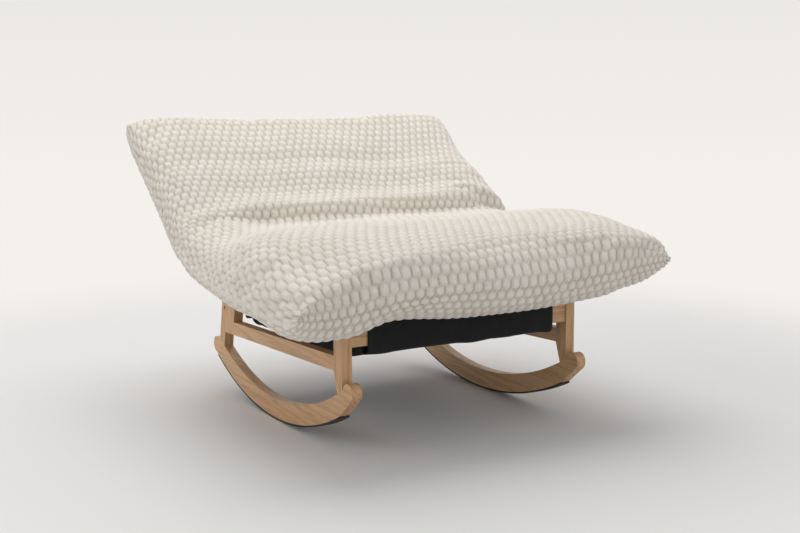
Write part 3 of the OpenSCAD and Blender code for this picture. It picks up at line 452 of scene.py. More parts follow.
def plush():
    settings = bpy.context.scene.chair_cover
    material, tree, shader, place = new_material("ivory_bubble_plush")
    # The bubble profile picks where painted shade darkens the pile, down between the bubbles
    crown = node(tree, "Attribute", attribute_name="bubble").outputs["Fac"]
    finish_with("Plush pile", tree, shader,
                {"Vector": place, "Color": (*settings.colour, 1), "Shade": (*settings.shade, 1),
                 "Crown": crown},
                (0.65, 0.0016),
                {"Sheen Weight": 0.22, "Sheen Roughness": 0.55, "Specular IOR Level": 0.2})
    return material


def woven(name, colour, lint, threads, bump, values):
    """Cloth of one colour with lint of another, and that number of threads to the metre."""
    material, tree, shader, place = new_material(name)
    finish_with("Cloth weave", tree, shader,
                {"Vector": place, "Color": (*colour, 1), "Lint": (*lint, 1), "Threads": threads},
                bump, values)
    return material


def black_cloth(name, threads):
    return woven(name, bpy.context.scene.chair_cloth.colour, (0.05, 0.05, 0.053), threads,
                 (0.35, 0.0003), {"Sheen Weight": 0.05, "Specular IOR Level": 0.25})


def webbing():
    return woven("woven_webbing", bpy.context.scene.chair_cloth.webbing, (0.09, 0.09, 0.095), 360.0,
                 (0.8, 0.0006), {})


def coated(name, colour, worn, grain, base, metallic=0.0):
    """Powder coat, plating or rubber with its own grain, roughness and metallic value."""
    material, tree, shader, place = new_material(name)
    finish_with("Fine speckle", tree, shader,
                {"Vector": place, "Color": (*colour, 1), "Worn": (*worn, 1), "Grain": grain,
                 "Base": base},
                (0.2, 0.0003), {"Metallic": metallic})
    return material


def assign(material, *names):
    """Gives CAD nodes their material."""
    for name in names:
        mesh = frame["nodes"][name].data
        mesh.materials.clear()
        mesh.materials.append(material)


# Curves and lofts

def through(points, at, marks):
    """Values at the places at, on a smooth curve through points that stand at marks."""
    points = np.asarray(points, float)
    marks = np.asarray(marks, float)
    span = np.diff(marks)[:, None]
    step = np.diff(points, axis=0) / span
    slope = np.vstack([step[:1], (step[:-1] * span[1:] + step[1:] * span[:-1])
                       / (span[:-1] + span[1:]), step[-1:]])
    index = np.clip(np.searchsorted(marks, at, side="right") - 1, 0, len(marks) - 2)
    t = ((at - marks[index]) / span[index, 0])[:, None]
    gap = span[index]
    return ((2 * t**3 - 3 * t**2 + 1) * points[index] + (t**3 - 2 * t**2 + t) * gap * slope[index]
            + (3 * t**2 - 2 * t**3) * points[index + 1] + (t**3 - t**2) * gap * slope[index + 1])


def rib_stations(ribs, rows, shifts=()):
    """Rib curves sampled at evenly spaced places along the face: an array row, curve, (y, z), and
    one more such array for each table of shifts."""
    faces = np.array([rib[0] for rib in ribs])
    marks = np.concatenate([[0], np.cumsum(np.linalg.norm(np.diff(faces, axis=0), axis=1))])
    dense = np.linspace(0, marks[-1], 4000)
    line = through(faces, dense, marks)
    length = np.concatenate([[0], np.cumsum(np.linalg.norm(np.diff(line, axis=0), axis=1))])
    at = np.interp(np.linspace(0, length[-1], rows + 1), length, dense)
    still = [(0.0, 0.0)] * len(ribs[0])
    tables = [ribs] + [[(shift.get(number, []) + still)[:len(still)] for number in range(len(ribs))]
                       for shift in shifts]
    sampled = [np.stack([through([rib[k] for rib in table], at, marks) for k in range(len(still))],
                        axis=1) for table in tables]
    return sampled[0], sampled[1:]


def smooth_step(x, low, high):
    """0 up to low, 1 from high on, and smooth in between."""
    t = np.clip((x - low) / (high - low), 0, 1)
    return t * t * (3 - 2 * t)


def fade(x, low, high):
    """1 up to low, 0 from high on, and smooth in between."""
    return 1 - smooth_step(x, low, high)


def hill(x, at, width):
    """A soft hill of height 1 at a place along one line."""
    return np.exp(-((x - at) / width) ** 2)


def half_section(half_width, box_x, box_z, reach, samples, full=None):
    """Places from the mid-plane to the side seam of a full, rounded cross-section, as x and the
    share of its height, evenly spaced along it for a height of reach. With a full length they keep
    the spacing of a section of that length, and crowd only at the seam."""
    turn = np.linspace(0, math.pi / 2, 600)
    x = half_width * np.sin(turn) ** (2 / box_x)
    share = np.cos(turn) ** (2 / box_z)
    share[-1] = 0
    height = share * max(reach, 1e-4)
    length = np.concatenate([[0], np.cumsum(np.hypot(np.diff(x), np.diff(height)))])
    way = np.linspace(0, 1, samples + 1)
    at = length[-1] * way if full is None else full * way - (full - length[-1]) * way ** 5
    return np.interp(at, length, x), np.interp(at, length, share)


def zip_chains(a, b, flip):
    """Triangles between two chains of vertices that run side by side and share their ends."""
    last_a, last_b = len(a) - 1, len(b) - 1
    faces = []
    i = j = 0
    while i < last_a or j < last_b:
        first = i < last_a and (j == last_b or (i + 1) * last_b <= (j + 1) * last_a)
        corners = [a[i], a[i + 1], b[j]] if first else [a[i], b[j + 1], b[j]]
        i, j = (i + 1, j) if first else (i, j + 1)
        if len(set(corners)) == 3:
            faces.append(corners[::-1] if flip else corners)
    return faces


def ring_faces(rows, top, under):
    """Faces of a closed form made of rings of top + under columns, whose first and last ring are
    flattened to a line of top + 1 vertices."""
    ring = top + under
    start = top + 1

    def at(row, column):
        if row == 0:
            return column % ring
        base = start + (row - 1) * ring
        return base + (column if row == rows else column % ring)

    faces = []
    for row in range(rows):
        for column in range(ring if 0 < row < rows - 1 else top):
            faces.append([at(row, column), at(row, column + 1), at(row + 1, column + 1),
                          at(row + 1, column)])
    line = range(top, -1, -1)
    side = list(range(top, ring)) + [ring]
    faces += zip_chains([at(0, c) for c in line], [at(1, c) for c in side], False)
    faces += zip_chains([at(rows, c) for c in line], [at(rows - 1, c) for c in side], True)
    return faces


def loft(ribs, rows, top, under, half_width, fullness, wing=None, leans=(), full=None):
    """Rings of points through the ribs, from the left side seam over the face to the right one and
    back underneath: an array row, column, (x, y, z). fullness(y, side) gives the powers of a
    section's corners, half_width(y, side) its half width, and wing(x) the share of the outer
    underside. Each lean is a table of shifts and weight(x), the share of it to use."""
    stations, moves = rib_stations(ribs, rows, [shifts for shifts, weight in leans])
    rings = np.zeros((rows + 1, top + under, 3))
    crown, keel = top // 2, top + under // 2

    def leaning(row, curve, x):
        place = np.tile(stations[row, curve], (len(x), 1))
        for (shifts, weight), move in zip(leans, moves):
            place += weight(x)[:, None] * move[row, curve]
        return place

    for row, curves in enumerate(stations):
        seam = curves[1]
        for side in (-1, 1):
            halves = []
            for curve, samples in ((0, crown), (2, under // 2)):
                x, share = half_section(half_width(seam[0], side), *fullness(curves[0][0], side),
                                        np.linalg.norm(curves[curve] - seam), samples, full)
                seams, ends = leaning(row, 1, side * x), leaning(row, curve, side * x)
                if wing and curve == 2:
                    out = wing(x)[:, None]
                    ends = ends * (1 - out) + leaning(row, len(curves) - 1, side * x) * out
                halves.append(np.column_stack([side * x, seams + (ends - seams) * share[:, None]]))
            upper, lower = halves
            if side > 0:
                rings[row, crown:top + 1] = upper
                rings[row, top:keel + 1] = lower[::-1]
            else:
                rings[row, :crown + 1] = upper[::-1]
                rings[row, keel:] = lower[:-1]
    return rings


def ring_vertices(rings, top):
    """The vertices of a loft in the order that ring_faces expects."""
    return np.concatenate([rings[0, :top + 1], rings[1:-1].reshape(-1, rings.shape[2]),
                           rings[-1, :top + 1]])


def vertex_normals(points, faces):
    total = np.zeros_like(points)
    for corners in (4, 3):
        group = np.array([face for face in faces if len(face) == corners], int).reshape(-1, corners)
        normal = np.cross(points[group[:, 2]] - points[group[:, 0]],
                          points[group[:, -1]] - points[group[:, 1]])
        for corner in range(corners):
            np.add.at(total, group[:, corner], normal)
    return total / np.maximum(np.linalg.norm(total, axis=1, keepdims=True), 1e-12)


def new_piece(name, points, faces, material):
    """A smooth-shaded mesh object of those points and faces."""
    mesh = bpy.data.meshes.new(name)
    mesh.from_pydata([tuple(p) for p in points], [], [tuple(int(i) for i in f) for f in faces])
    mesh.validate()
    if material:
        mesh.materials.append(material)
    mesh.shade_smooth()
    piece = bpy.data.objects.new(name, mesh)
    bpy.context.scene.collection.objects.link(piece)
    return piece


def bump_of(x, y, at_x, at_y, wide, long):
    """A soft hill of height 1 centred on a place of the plan."""
    return np.exp(-((x - at_x) / wide) ** 2 - ((y - at_y) / long) ** 2)


# Plush cover

def bubble_profile(across, along, edge):
    """Share of the bubble height at a place counted in bubbles, where every other row is shifted by
    half a bubble: 0 on the stitching between two bubbles, and 1 inside their rounded edge."""
    row = np.floor(along)
    near = []
    for step in (-1, 0, 1, 2):
        line = row + step
        shift = 0.5 * np.mod(line, 2)
        column = np.round(across - shift)
        for side in (-1, 0, 1):
            dx = (across - column - side - shift) * PITCH_ACROSS
            dy = (along - line) * PITCH_ALONG
            near.append((dx * dx + dy * dy, (column + side + shift) * PITCH_ACROSS,
                         line * PITCH_ALONG))
    away, x, y = (np.stack(part) for part in zip(*near))
    nearest = np.argsort(away, axis=0)[:3]
    away, x, y = (np.take_along_axis(part, nearest, axis=0) for part in (away, x, y))
    profile = np.ones_like(across, float)
    for k in (1, 2):
        apart = np.hypot(x[k] - x[0], y[k] - y[0])
        border = (away[k] - away[0]) / (2 * np.maximum(apart, 1e-6))
        inward = 1 - np.clip(border / edge, 0, 1)
        profile *= np.sqrt(np.clip(1 - inward * inward, 0, 1))
    return profile


def fold_line(x, y, start, end, width):
    """A line of height 1 along the stretch from start to end, that fades out at both ends."""
    ax, ay = start
    bx, by = end[0] - ax, end[1] - ay
    way = ((x - ax) * bx + (y - ay) * by) / (bx * bx + by * by)
    off = ((x - ax) * by - (y - ay) * bx) / math.hypot(bx, by)
    return hill(off, 0, width) * smooth_step(way, -0.15, 0.25) * fade(way, 0.75, 1.15)


def cover_lumps(points):
    """Swells, hollows and folds of the filled cover, in metres along the normal."""
    x, y, z = points.T
    upper = smooth_step(z - 0.44, 0.0, 0.06)
    lumps = 0.004 * np.sin(5.1 * x + 3.3 * y) * np.sin(7.3 * y - 2.1 * x + 0.8)
    lumps += 0.0025 * np.sin(13 * x - 4 * y + 0.6) * np.sin(11 * y + 5 * x)
    valley = 0.400 - 0.03 * x - 0.12 * np.maximum(x, 0) ** 2
    lumps -= 0.003 * bump_of(x, y - valley, 0.08, 0.0, 0.34, 0.018)
    lumps += 0.002 * bump_of(x, y - valley, 0.08, -0.045, 0.36, 0.022)
    for height, start, end, width in FOLDS:
        lumps += height * fold_line(x, y, start, end, width)
    lumps *= upper
    front = fade(y, -0.52, -0.46)
    lumps -= 0.006 * front * bump_of(x, z, -0.345, 0.392, 0.010, 0.038)
    lumps += 0.003 * front * bump_of(x, z, -0.318, 0.385, 0.014, 0.040)
    away_x, away_z = x + 0.545, z - 0.388
    far = np.hypot(away_x, away_z)
    turn = np.arctan2(away_z, away_x)
    lumps += 0.0035 * front * np.sin(7 * turn + 1) * hill(far, 0.035, 0.03)
    lumps -= 0.006 * front * hill(far, 0, 0.02)
    return lumps


def cover_ribs():
    """The cross-sections of the seat and the back in one list, as points (y, z)."""
    along = (math.cos(BACK_TILT), math.sin(BACK_TILT))
    back = [[(HINGE[1] + s * along[0] - n * along[1], HINGE[2] + s * along[1] + n * along[0])
             for s, n in rib] for rib in BACK_RIBS]
    return SEAT_RIBS + back


def cover_leans():
    """The tables of shifts of the cover's ribs, each with its share at a distance x."""
    half = SEAT_HIGH[0]

    def right(start, end):
        return lambda x: smooth_step(x / half, start, end)

    def left(start, end):
        return lambda x: smooth_step(-x / half, start, end)

    grows, fades = right(-0.15, 0.3), right(0.6, 0.9)
    return [(RIGHT_NOSE, lambda x: grows(x) * (1 - fades(x))), (RIGHT_REAR, right(0.25, 0.88)),
            (LEFT_DROOP, left(0.66, 0.86)), (LEFT_CREASE, left(0.5, 0.85))]


def settle(points):
    """Lets the cover lie unevenly: its left front corner has sunk, its right one stands high, and
    so does the right end of the back."""
    x, y, z = points.T
    u = x / SEAT_HIGH[0]
    near = hill(y, SEAT_LOW[1], 0.10)
    band = smooth_step(1 - np.abs(z - 0.425) / 0.11, 0.0, 1.0)
    nose = 0.008 * (u * u - 1) - 0.020 * smooth_step(-u, 0.2, 1.0)
    lift = 0.016 * smooth_step(u, 0.55, 1.0) * (1 - hill(y, SEAT_LOW[1], 0.02))
    front = fade(y, -0.35, 0.14)
    roll = 0.021 * smooth_step(u, 0.15, 0.95)
    corner = 0.020 * smooth_step(-u, 0.45, 0.85) * fade(y, -0.50, -0.30)
    lip = 0.012 * smooth_step(u, -0.75, -0.5) + 0.013 * hill(u, -0.44, 0.2)
    lip *= fade(y, -0.44, -0.40)
    lip *= fade(z, 0.34, 0.42)
    tuck = 0.010 * smooth_step(-u, 0.6, 0.9) * smooth_step(y, -0.46, -0.30)
    tuck *= fade(y, -0.05, 0.12) * fade(z, 0.37, 0.45)
    moved = points.copy()
    moved[:, 2] += near * band * (nose + lift) + front * roll - corner + lip + tuck
    moved[:, 2] += 0.010 * smooth_step(u, 0.2, 0.85) * smooth_step(y, 0.42, 0.60)
    return moved


def cover_half_width(y, side):
    """Distance from the mid-plane to the side seam; it swells where the seat meets the back."""
    swell_at, swell, flare = (0.15, 0.009, 0.0) if side < 0 else (0.23, 0.014, 0.016)
    half = bpy.context.scene.chair_cover.half_width - 0.006 - 0.004 * math.sin(7 * y + 0.4)
    return half + swell * hill(y, swell_at, 0.10) + flare * hill(y, 0.165, 0.045)


def cover_fullness(y, side):
    way = min(1.0, max(0.0, (y - SEAT_LOW[1]) / 0.24))
    back = min(1.0, max(0.0, (y - 0.08) / 0.2))
    if side < 0:
        return 6 + way + 10 * back, 3 - 0.2 * way + 3 * back
    return 6 + 6 * way + 5 * back, 3 + 1.4 * way + 1.4 * back


def cover_wing(x):
    return smooth_step(np.abs(x), TUBE_HIGH[0] + 0.012, TUBE_HIGH[0] + 0.085)


def sample_grid(rows, columns):
    """The numbers of the row and of the column at each place of a loft's rings."""
    return np.meshgrid(np.arange(rows + 1.0), np.arange(columns, dtype=float), indexing="ij")


def between_rows(grid, row, column):
    """Values of a grid at whole columns and at rows that may lie between two of its own."""
    low = np.minimum(row.astype(int), len(grid) - 2)
    part = (row - low)[..., None]
    return grid[low, column] * (1 - part) + grid[low + 1, column] * part


def wander(rings, top, under):
    """Slides the places of the bubbles along the cover, so that their rows wave and bend."""
    rows = rings.shape[0] - 1
    row, column = sample_grid(rows, top + under)
    across = np.where(column <= top, column / top * 2 - 1, 1 - (column - top) / under * 2)
    share = row / rows
    keep = smooth_step(share, 0, 0.18) * fade(share, 0.3, 0.95)
    drift = keep * (8 * fade(across, -1, -0.4) - 7 * across)
    keep = np.minimum(1, np.minimum(share, 1 - share) * 12) * (1 - np.abs(across) ** 8)
    drift += keep * (1.2 * np.sin(4.2 * across + 3 * share)
                     + 0.8 * np.sin(9 * across - 7 * share + 1))
    drift += keep * np.sin(2.4 * across * (1 - share) + 14 * share)
    return between_rows(rings, np.clip(row + drift, 0, rows), column.astype(int))


def cover_rings(rows, top, under):
    """The rings of the cover before it settles, in that many rows and columns."""
    return loft(cover_ribs(), rows, top, under, cover_half_width, cover_fullness, cover_wing,
                cover_leans(), SPACED_FOR)


def blow_up(start, faces, hold):
    """Where the vertices of a cloth end up when its filling presses on all but the held ones."""
    piece = new_piece("filling_test", start, faces, None)
    held = piece.vertex_groups.new(name="held")
    held.add([int(i) for i in np.flatnonzero(hold)], 1.0, "ADD")
    cloth = piece.modifiers.new("filling", "CLOTH")
    cloth.collision_settings.use_collision = False
    values = {"quality": 6, "mass": 0.4, "tension_stiffness": 25, "compression_stiffness": 8,
              "shear_stiffness": 6, "bending_stiffness": 0.4, "shrink_min": -0.07,
              "use_pressure": True, "uniform_pressure_force": 4, "vertex_group_mass": "held"}
    for key, value in values.items():
        setattr(cloth.settings, key, value)
    cloth.settings.effector_weights.gravity = 0
    scene = bpy.context.scene
    for number in range(1, FILLING_FRAMES + 1):
        scene.frame_set(number)
    blown = piece.evaluated_get(bpy.context.evaluated_depsgraph_get()).data
    moved = np.zeros(len(start) * 3, dtype=np.float32)
    blown.vertices.foreach_get("co", moved)
    scene.frame_set(1)
    mesh = piece.data
    bpy.data.objects.remove(piece)
    bpy.data.meshes.remove(mesh)
    return moved.reshape(-1, 3)


def filling_moves(rows, top, under):
    """How far the filling pushes each place of the cover: a cloth of two cells to a bubble is blown
    up between its seams, and its capped movement is spread over the rings of the full mesh."""
    step_x, step_u, step_y = ACROSS_TOP // 2, ACROSS_UNDER // 2, ALONG // 2
    wide, low, long = top // step_x, under // step_u, rows // step_y
    ring = wide + low
    points = settle(ring_vertices(cover_rings(long, wide, low), wide))
    faces = ring_faces(long, wide, low)
    row, column = sample_grid(long, ring)
    hold = (column >= wide - 1) | (column <= 1) | (row <= 1) | (row >= long - 1)
    hold = ring_vertices(hold[..., None], wide)[:, 0]
    slimmer = points - FILLING_INSET * vertex_normals(points, faces)
    moves = blow_up(slimmer, faces, hold) - points
    size = np.linalg.norm(moves, axis=1, keepdims=True)
    moves *= np.minimum(1, FILLING_CAP / np.maximum(size, 1e-9))
    moves[hold] = 0
    inner = np.zeros((long + 1, ring, 3))
    inner[1:-1] = moves[wide + 1:-(wide + 1)].reshape(long - 1, ring, 3)
    inner = np.concatenate([inner, inner[:, :1]], axis=1)
    row, column = sample_grid(rows, top + under)
    at_y = row / step_y
    at_x = np.where(column <= top, column / step_x, wide + (column - top) / step_u)
    left = np.minimum(at_x.astype(int), ring - 1)
    part = (at_x - left)[..., None]
    return (between_rows(inner, at_y, left) * (1 - part)
            + between_rows(inner, at_y, left + 1) * part)


class COVER_OT_build(bpy.types.Operator):
    """Builds the bubble-plush cover over the seat and the back"""
    bl_idname = "chair.cover"
    bl_label = "Plush cover"

    def execute(self, context):
        settings = context.scene.chair_cover
        top = settings.bubbles * ACROSS_TOP
        under = settings.bubbles * ACROSS_UNDER
        rows = settings.rows * ALONG
        rings = wander(cover_rings(rows, top, under), top, under)
        faces = ring_faces(rows, top, under)
        points = settle(ring_vertices(rings, top))
        row, column = sample_grid(rows, top + under)
        across = np.where(column <= top, column / ACROSS_TOP,
                          settings.bubbles - (column - top) / ACROSS_UNDER)
        grid = np.stack([across, row / ALONG, column > top], axis=2)
        across, along, beneath = ring_vertices(grid, top).T
        normals = vertex_normals(points, faces)
        lumps = cover_lumps(points) * (1 - UNDERSIDE_CALM * beneath)
        points = points + normals * lumps[:, None]
        points = points + ring_vertices(filling_moves(rows, top, under), top)

        profile = bubble_profile(across, along, settings.bubble_edge)
        # The bubbles run out at the side seams and on the lining, and are flatter where it gathers
        seam = np.minimum(across, settings.bubbles - across)
        joined = smooth_step(seam, 0.0, 0.35)
        profile = profile * joined + SEAM_LEVEL * (1 - joined)
        x, y = points.T[:2]
        lined = beneath * smooth_step(-np.abs(x), -0.43, -0.37) * smooth_step(y, -0.44, -0.40)
        lined *= fade(y, 0.19, 0.23)
        profile *= 1 - lined
        gathered = smooth_step(-x, 0.475, 0.56) * fade(y, 0.05, 0.25)
        height = settings.bubble_height * (1 - 0.45 * gathered)
        normals = vertex_normals(points, faces)
        points = points + normals * (height * (profile - MEAN_LEVEL))[:, None]

        cover = new_piece("plush_cover", points, faces, plush())
        # The bubble profile is kept for the plush material, which paints shade where it is low:
        # down between the bubbles, a little at the side seams, and in full on the flat lining
        # underneath
        depth = cover.data.attributes.new("bubble", "FLOAT", "POINT")
        depth.data.foreach_set("value", profile.astype(np.float32))
        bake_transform(cover)
        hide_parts("seat_cushion", "back_cushion", "back_panel")
        return {"FINISHED"}


# Black cloth, bag and straps

def cloth_loop(name, node_name, lean, rail, material):
    """A slack loop of cloth that hangs round a cross rail, between the ends of its CAD solid. The
    rail leans back by an angle in degrees."""
    low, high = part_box(node_name)
    rail_low, rail_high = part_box(rail)
    thickness = bpy.context.scene.chair_cloth.thickness
    turn = math.radians(lean)
    # The rail's half thickness with slack, the loop's room over that, and how far the loop's lowest
    # line stays above the end of the solid
    half, room, rise = 0.0156, 0.0012, 0.003
    top = rail_high[2] - 0.004
    axis_y = rail_low[1] + half / math.cos(turn) - 0.0016
    reach = top - low[2]
    columns, steps = 96, 44
    layer, i, k = np.indices((2, columns + 1, steps + 1))
    x = low[0] + (high[0] - low[0]) * i / columns
    side = np.where(2 * k < steps, -1, 1)
    sag = 0.0022 * np.sin(x * 21 + 0.7) + 0.0014 * np.sin(x * 47)
    ripple = 0.0011 * np.sin(x * 33 + 1.1) + 0.0006 * np.sin(x * 71)
    radius = half + room + layer * thickness
    straight = reach - radius - rise
    bend = math.pi * radius / 2
    way = np.abs(k / steps * 2 - 1) * (straight + bend)
    across = np.where(way > bend, radius, radius * np.sin(way / radius))
    down = straight + np.where(way > bend, bend - way, radius * np.cos(way / radius))
    hang = down / reach
    across += ripple * hang * hang * np.sin(np.minimum(1, down / 0.02) * math.pi / 2) * 0.8
    across *= side
    down += sag * hang ** 3
    points = np.stack([x, axis_y + across * math.cos(turn) + down * math.sin(turn),
                       top + across * math.sin(turn) - down * math.cos(turn)], axis=3)
    inner, outer = np.arange(points.size // 3).reshape(layer.shape).tolist()
    faces = []
    for i in range(columns):
        for k in range(steps):
            faces.append([outer[i][k], outer[i + 1][k], outer[i + 1][k + 1], outer[i][k + 1]])
            faces.append([inner[i][k], inner[i][k + 1], inner[i + 1][k + 1], inner[i + 1][k]])
    for i in range(columns):
        for k in (0, steps):
            rim = [inner[i][k], inner[i + 1][k], outer[i + 1][k], outer[i][k]]
            faces.append(rim if k == 0 else rim[::-1])
    for k in range(steps):
        for i in (0, columns):
            rim = [inner[i][k], outer[i][k], outer[i][k + 1], inner[i][k + 1]]
            faces.append(rim if i == 0 else rim[::-1])
    cloth = new_piece(name, points.reshape(-1, 3), faces, material)
    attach(cloth, BASE)
    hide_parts(node_name)
    return cloth


class CLOTH_OT_build(bpy.types.Operator):
    """Hangs the black cloth round the two cross rails"""
    bl_idname = "chair.rail_cloth"
    bl_label = "Rail cloth"

    def execute(self, context):
        material = black_cloth("black_rail_cloth", 620.0)
        cloth_loop("front_cloth", "front_rail_cloth", 0.0, "front_cross_rail", material)
        cloth_loop("rear_cloth", "rear_rail_cloth", 11.2, "rear_cross_rail", material)
        return {"FINISHED"}


class BAG_OT_build(bpy.types.Operator):
    """Builds the bag that hangs in its straps under the seat"""
    bl_idname = "chair.bag"
    bl_label = "Seat bag"

    def execute(self, context):
        top, under, rows = 96, 96, 110
        half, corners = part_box("seat_bag")[1][0] + 0.001, (24, 14)
        rings = loft(BAG_RIBS, rows, top, under, lambda y, side: half, lambda y, side: corners)
        faces = ring_faces(rows, top, under)
        points = ring_vertices(rings, top)
        normals = vertex_normals(points, faces)
        x, y, z = points.T
        # Folds down the sides, ripples all over, and gathers in the groove between its two bellies
        sides = smooth_step(np.abs(x), 0.20, 0.28)
        beneath = fade(z, 0.24, 0.30)
        folds = 0.0022 * np.sin(52 * y + 3 * np.sin(9 * x)) * (0.35 + sides)
        folds += 0.0014 * np.sin(34 * x + 20 * y) * np.sin(61 * y)
        groove = hill(y, 0.198, 0.045)
        folds += 0.003 * groove * np.sin(75 * x + 2 * np.sin(14 * x)) * beneath
        folds -= 0.0005
        flat = smooth_step(z, 0.335, 0.350)
        points = points + normals * (folds * (1 - flat))[:, None]
        bag = new_piece("seat_bag_cloth", points, faces, black_cloth("black_bag_cloth", 520.0))
        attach(bag, BASE)
        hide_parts("seat_bag")
        return {"FINISHED"}


class STRAPS_OT_finish(bpy.types.Operator):
    """Gives the straps their woven finish"""
    bl_idname = "chair.straps"
    bl_label = "Straps"

    def execute(self, context):
        assign(webbing(), "bag_straps", "back_straps")
        return {"FINISHED"}


# Wooden and steel pieces

class TIMBER_OT_finish(bpy.types.Operator):
    """Gives each wooden piece its grain, which runs along the piece"""
    bl_idname = "chair.timber"
    bl_label = "Timber"

    def execute(self, context):
        quarter = math.pi / 2
        along_y = (0, 0, quarter)
        along_z = (0, quarter, 0)
        pieces = [("runner", along_y), ("front_post", along_z), ("rear_post", along_z),
                  ("side_rail", along_y)]
        for number, (kind, turn) in enumerate(pieces):
            for side, name in enumerate(("left", "right")):
                board = 0.37 * number + 1.9 * side
                assign(timber(f"timber_{name}_{kind}", turn, board), f"{name}_{kind}")
        for number, name in enumerate(("front_cross_rail", "rear_cross_rail")):
            assign(timber(f"timber_{name}", (0, 0, 0), 5.3 + number), name)
        assign(timber("timber_dowels", (0, 0, 0), 8.1), "frame_dowels")
        return {"FINISHED"}


class STEEL_OT_finish(bpy.types.Operator):
    """Gives the tubes, hinges and fastenings their coating or plating"""
    bl_idname = "chair.steel"
    bl_label = "Steel"

    def execute(self, context):
        coat = coated("black_powder_coat", (0.018, 0.018, 0.019), (0.05, 0.05, 0.052), 1100.0, 0.42)
        assign(coat, "seat_frame", "back_frame", "left_hinge_bracket", "right_hinge_bracket",
               "left_hinge_arm", "right_hinge_arm")
        plate = coated("zinc_plate", (0.62, 0.62, 0.61), (0.42, 0.41, 0.39), 1500.0, 0.30, 1.0)
        assign(plate, "cross_rail_bolts", "barrel_nuts", "hold_down_bolts", "bracket_bolts",
               "bracket_nuts", "hinge_bolts", "hinge_nuts", "arm_bolts", "arm_nuts")
        strip = coated("dark_runner_strip", (0.016, 0.016, 0.016), (0.07, 0.068, 0.064), 420.0,
                       0.72)
        assign(strip, "left_runner_strip", "right_runner_strip")
        disc = coated("fibre_disc", (0.06, 0.045, 0.035), (0.12, 0.1, 0.08), 800.0, 0.8)
        assign(disc, "friction_discs")
        return {"FINISHED"}


# Stage

def seen_rays(tree):
    """1 for the rays of the camera, of reflections and of glass, and 0 for the rest."""
    path = node(tree, "LightPath").outputs
    shown = math_node(tree, "MAXIMUM", path["Is Camera Ray"], path["Is Glossy Ray"])
    return math_node(tree, "MAXIMUM", shown, path["Is Transmission Ray"])


def backdrop(settings):
    """A floor that curves up into a wall behind the chair. Away from the chair it glows for camera,
    reflection and glass rays, with painted light that is darker towards the top.
    """
    half, front, back, height, bend = 7.0, -5.0, 3.6, 3.4, 1.3
    profile = [(front, 0.0), (back - bend, 0.0)]
    profile += [(back - bend + bend * math.sin(a), bend - bend * math.cos(a))
                for a in np.linspace(0, math.pi / 2, 24)[1:]]
    profile.append((back, height))
    turn = -settings.yaw
    cos, sin = math.cos(turn), math.sin(turn)
    points = [(x * cos - y * sin, x * sin + y * cos, z - 0.0005)
              for y, z in profile for x in (-half, half)]
    faces = [[2 * k, 2 * k + 1, 2 * k + 3, 2 * k + 2] for k in range(len(profile) - 1)]
    material, tree, shader, place = new_material("pale_backdrop")
    shader.inputs["Base Color"].default_value = (*settings.floor, 1)
    shader.inputs["Roughness"].default_value = 0.9
    shader.inputs["Specular IOR Level"].default_value = 0.1
    far = node(tree, "VectorMath", {0: place, 1: (0.15, 0.25, 0.0)}, operation="DISTANCE")
    share = node(tree, "MapRange", {0: far.outputs[1], 1: 0.9, 2: 2.5},
                 interpolation_type="SMOOTHSTEP").outputs[0]
    seen = times(tree, share, seen_rays(tree))
    # Painted light: the glow shown to camera, reflection and glass rays darkens from the floor up
    # the wall, as the light falling on it would
    up = node(tree, "SeparateXYZ", {0: place}).outputs[2]
    painted_falloff = node(tree, "MapRange", {0: up, 1: 0.4, 2: 3.0}).outputs[0]
    glow = mix_colour(tree, painted_falloff, (0.905, 0.875, 0.845), (0.72, 0.715, 0.69))
    bright = node(tree, "Emission", {"Color": glow, "Strength": 1.0})
    mixed = node(tree, "MixShader", {0: seen, 1: shader.outputs[0], 2: bright.outputs[0]})
    tree.links.new(mixed.outputs[0], tree.nodes["Material Output"].inputs[0])
    return new_piece("backdrop", np.array(points), faces, material)


def lamp(name, power, size, at, towards, colour=(1, 1, 1)):
    """A square area lamp of that size that faces a point."""
    data = bpy.data.lights.new(name, "AREA")
    data.energy = power
    data.shape = "SQUARE"
    data.size = size
    data.color = colour
    made = bpy.data.objects.new(name, data)
    made.location = at
    way = Vector(towards) - Vector(at)
    made.rotation_euler = way.to_track_quat("-Z", "Y").to_euler()
    bpy.context.scene.collection.objects.link(made)


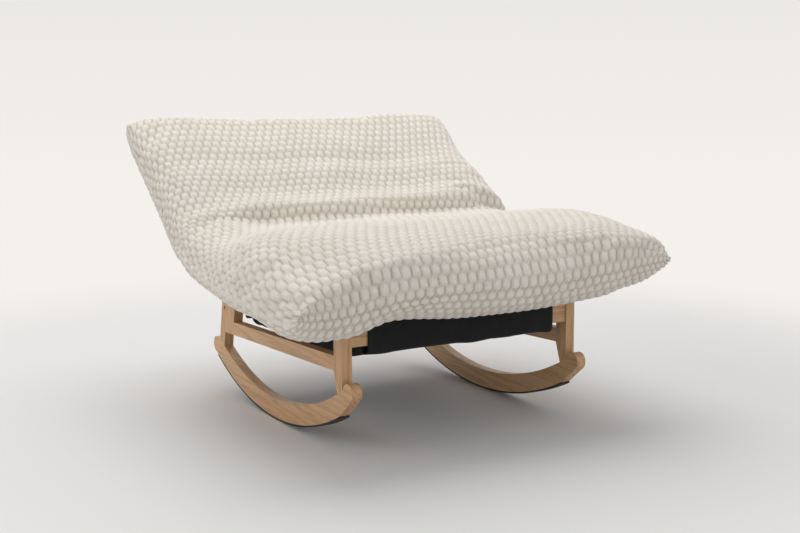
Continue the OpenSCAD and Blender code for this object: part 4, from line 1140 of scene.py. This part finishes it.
class STAGE_OT_build(bpy.types.Operator):
    """Sets up the camera, the pale floor and the soft lamps"""
    bl_idname = "chair.stage"
    bl_label = "Stage"

    def execute(self, context):
        scene = context.scene
        settings = scene.chair_stage
        data = bpy.data.cameras.new("camera")
        data.lens = settings.lens
        data.sensor_width = 36.0
        data.clip_end = 50.0
        camera = bpy.data.objects.new("camera", data)
        camera.location = settings.camera_at
        camera.rotation_euler = (math.pi / 2 - settings.pitch, 0, -settings.yaw)
        scene.collection.objects.link(camera)
        scene.camera = camera
        backdrop(settings)
        lamp("overhead", 66, 3.4, (0.2, 1.1, 3.1), (0, 0.1, 0.4))
        lamp("left_window", 13, 1.8, (-3.0, 0.1, 1.4), (0, 0, 0.4))
        lamp("front_fill", 11, 2.4, (0.8, -3.6, 1.6), (0, 0, 0.3))
        world = bpy.data.worlds.new("soft_room")
        scene.world = world
        world.use_nodes = True
        tree = world.node_tree
        tree.nodes.clear()
        light = node(tree, "Background", {"Color": (0.95, 0.96, 1.0, 1), "Strength": 0.50})
        seen = node(tree, "Background", {"Color": (0.90, 0.89, 0.87, 1), "Strength": 1.0})
        mixed = node(tree, "MixShader", {0: seen_rays(tree), 1: light.outputs[0],
                                         2: seen.outputs[0]})
        node(tree, "OutputWorld", {0: mixed.outputs[0]})
        scene.view_settings.view_transform = "Standard"
        return {"FINISHED"}


# Panel and registration

OPERATORS = [STAGE_OT_build, TIMBER_OT_finish, STEEL_OT_finish, STRAPS_OT_finish, CLOTH_OT_build,
             BAG_OT_build, COVER_OT_build]
SETTINGS = {"chair_cover": CoverSettings, "chair_timber": TimberSettings,
            "chair_cloth": ClothSettings, "chair_stage": StageSettings}


class CHAIR_PT_panel(bpy.types.Panel):
    """Lists the settings and the building steps of the rocking chair"""
    bl_idname = "CHAIR_PT_panel"
    bl_label = "Rocking chair"
    bl_space_type = "VIEW_3D"
    bl_region_type = "UI"
    bl_category = "Rocking chair"

    def draw(self, context):
        layout = self.layout
        for name, group in SETTINGS.items():
            box = layout.box()
            for prop in group.__annotations__:
                box.prop(getattr(context.scene, name), prop)
        for operator in OPERATORS:
            layout.operator(operator.bl_idname)


def register():
    for made in (*SETTINGS.values(), *OPERATORS, CHAIR_PT_panel):
        bpy.utils.register_class(made)
    for name, group in SETTINGS.items():
        setattr(bpy.types.Scene, name, bpy.props.PointerProperty(type=group))


def unregister():
    for name in SETTINGS:
        delattr(bpy.types.Scene, name)
    for made in (CHAIR_PT_panel, *OPERATORS[::-1], *SETTINGS.values()):
        bpy.utils.unregister_class(made)


def main():
    register()
    bpy.ops.chair.stage()
    bpy.ops.chair.timber()
    bpy.ops.chair.steel()
    bpy.ops.chair.straps()
    bpy.ops.chair.rail_cloth()
    bpy.ops.chair.bag()
    bpy.ops.chair.cover()


if __name__ == "__main__":
    main()
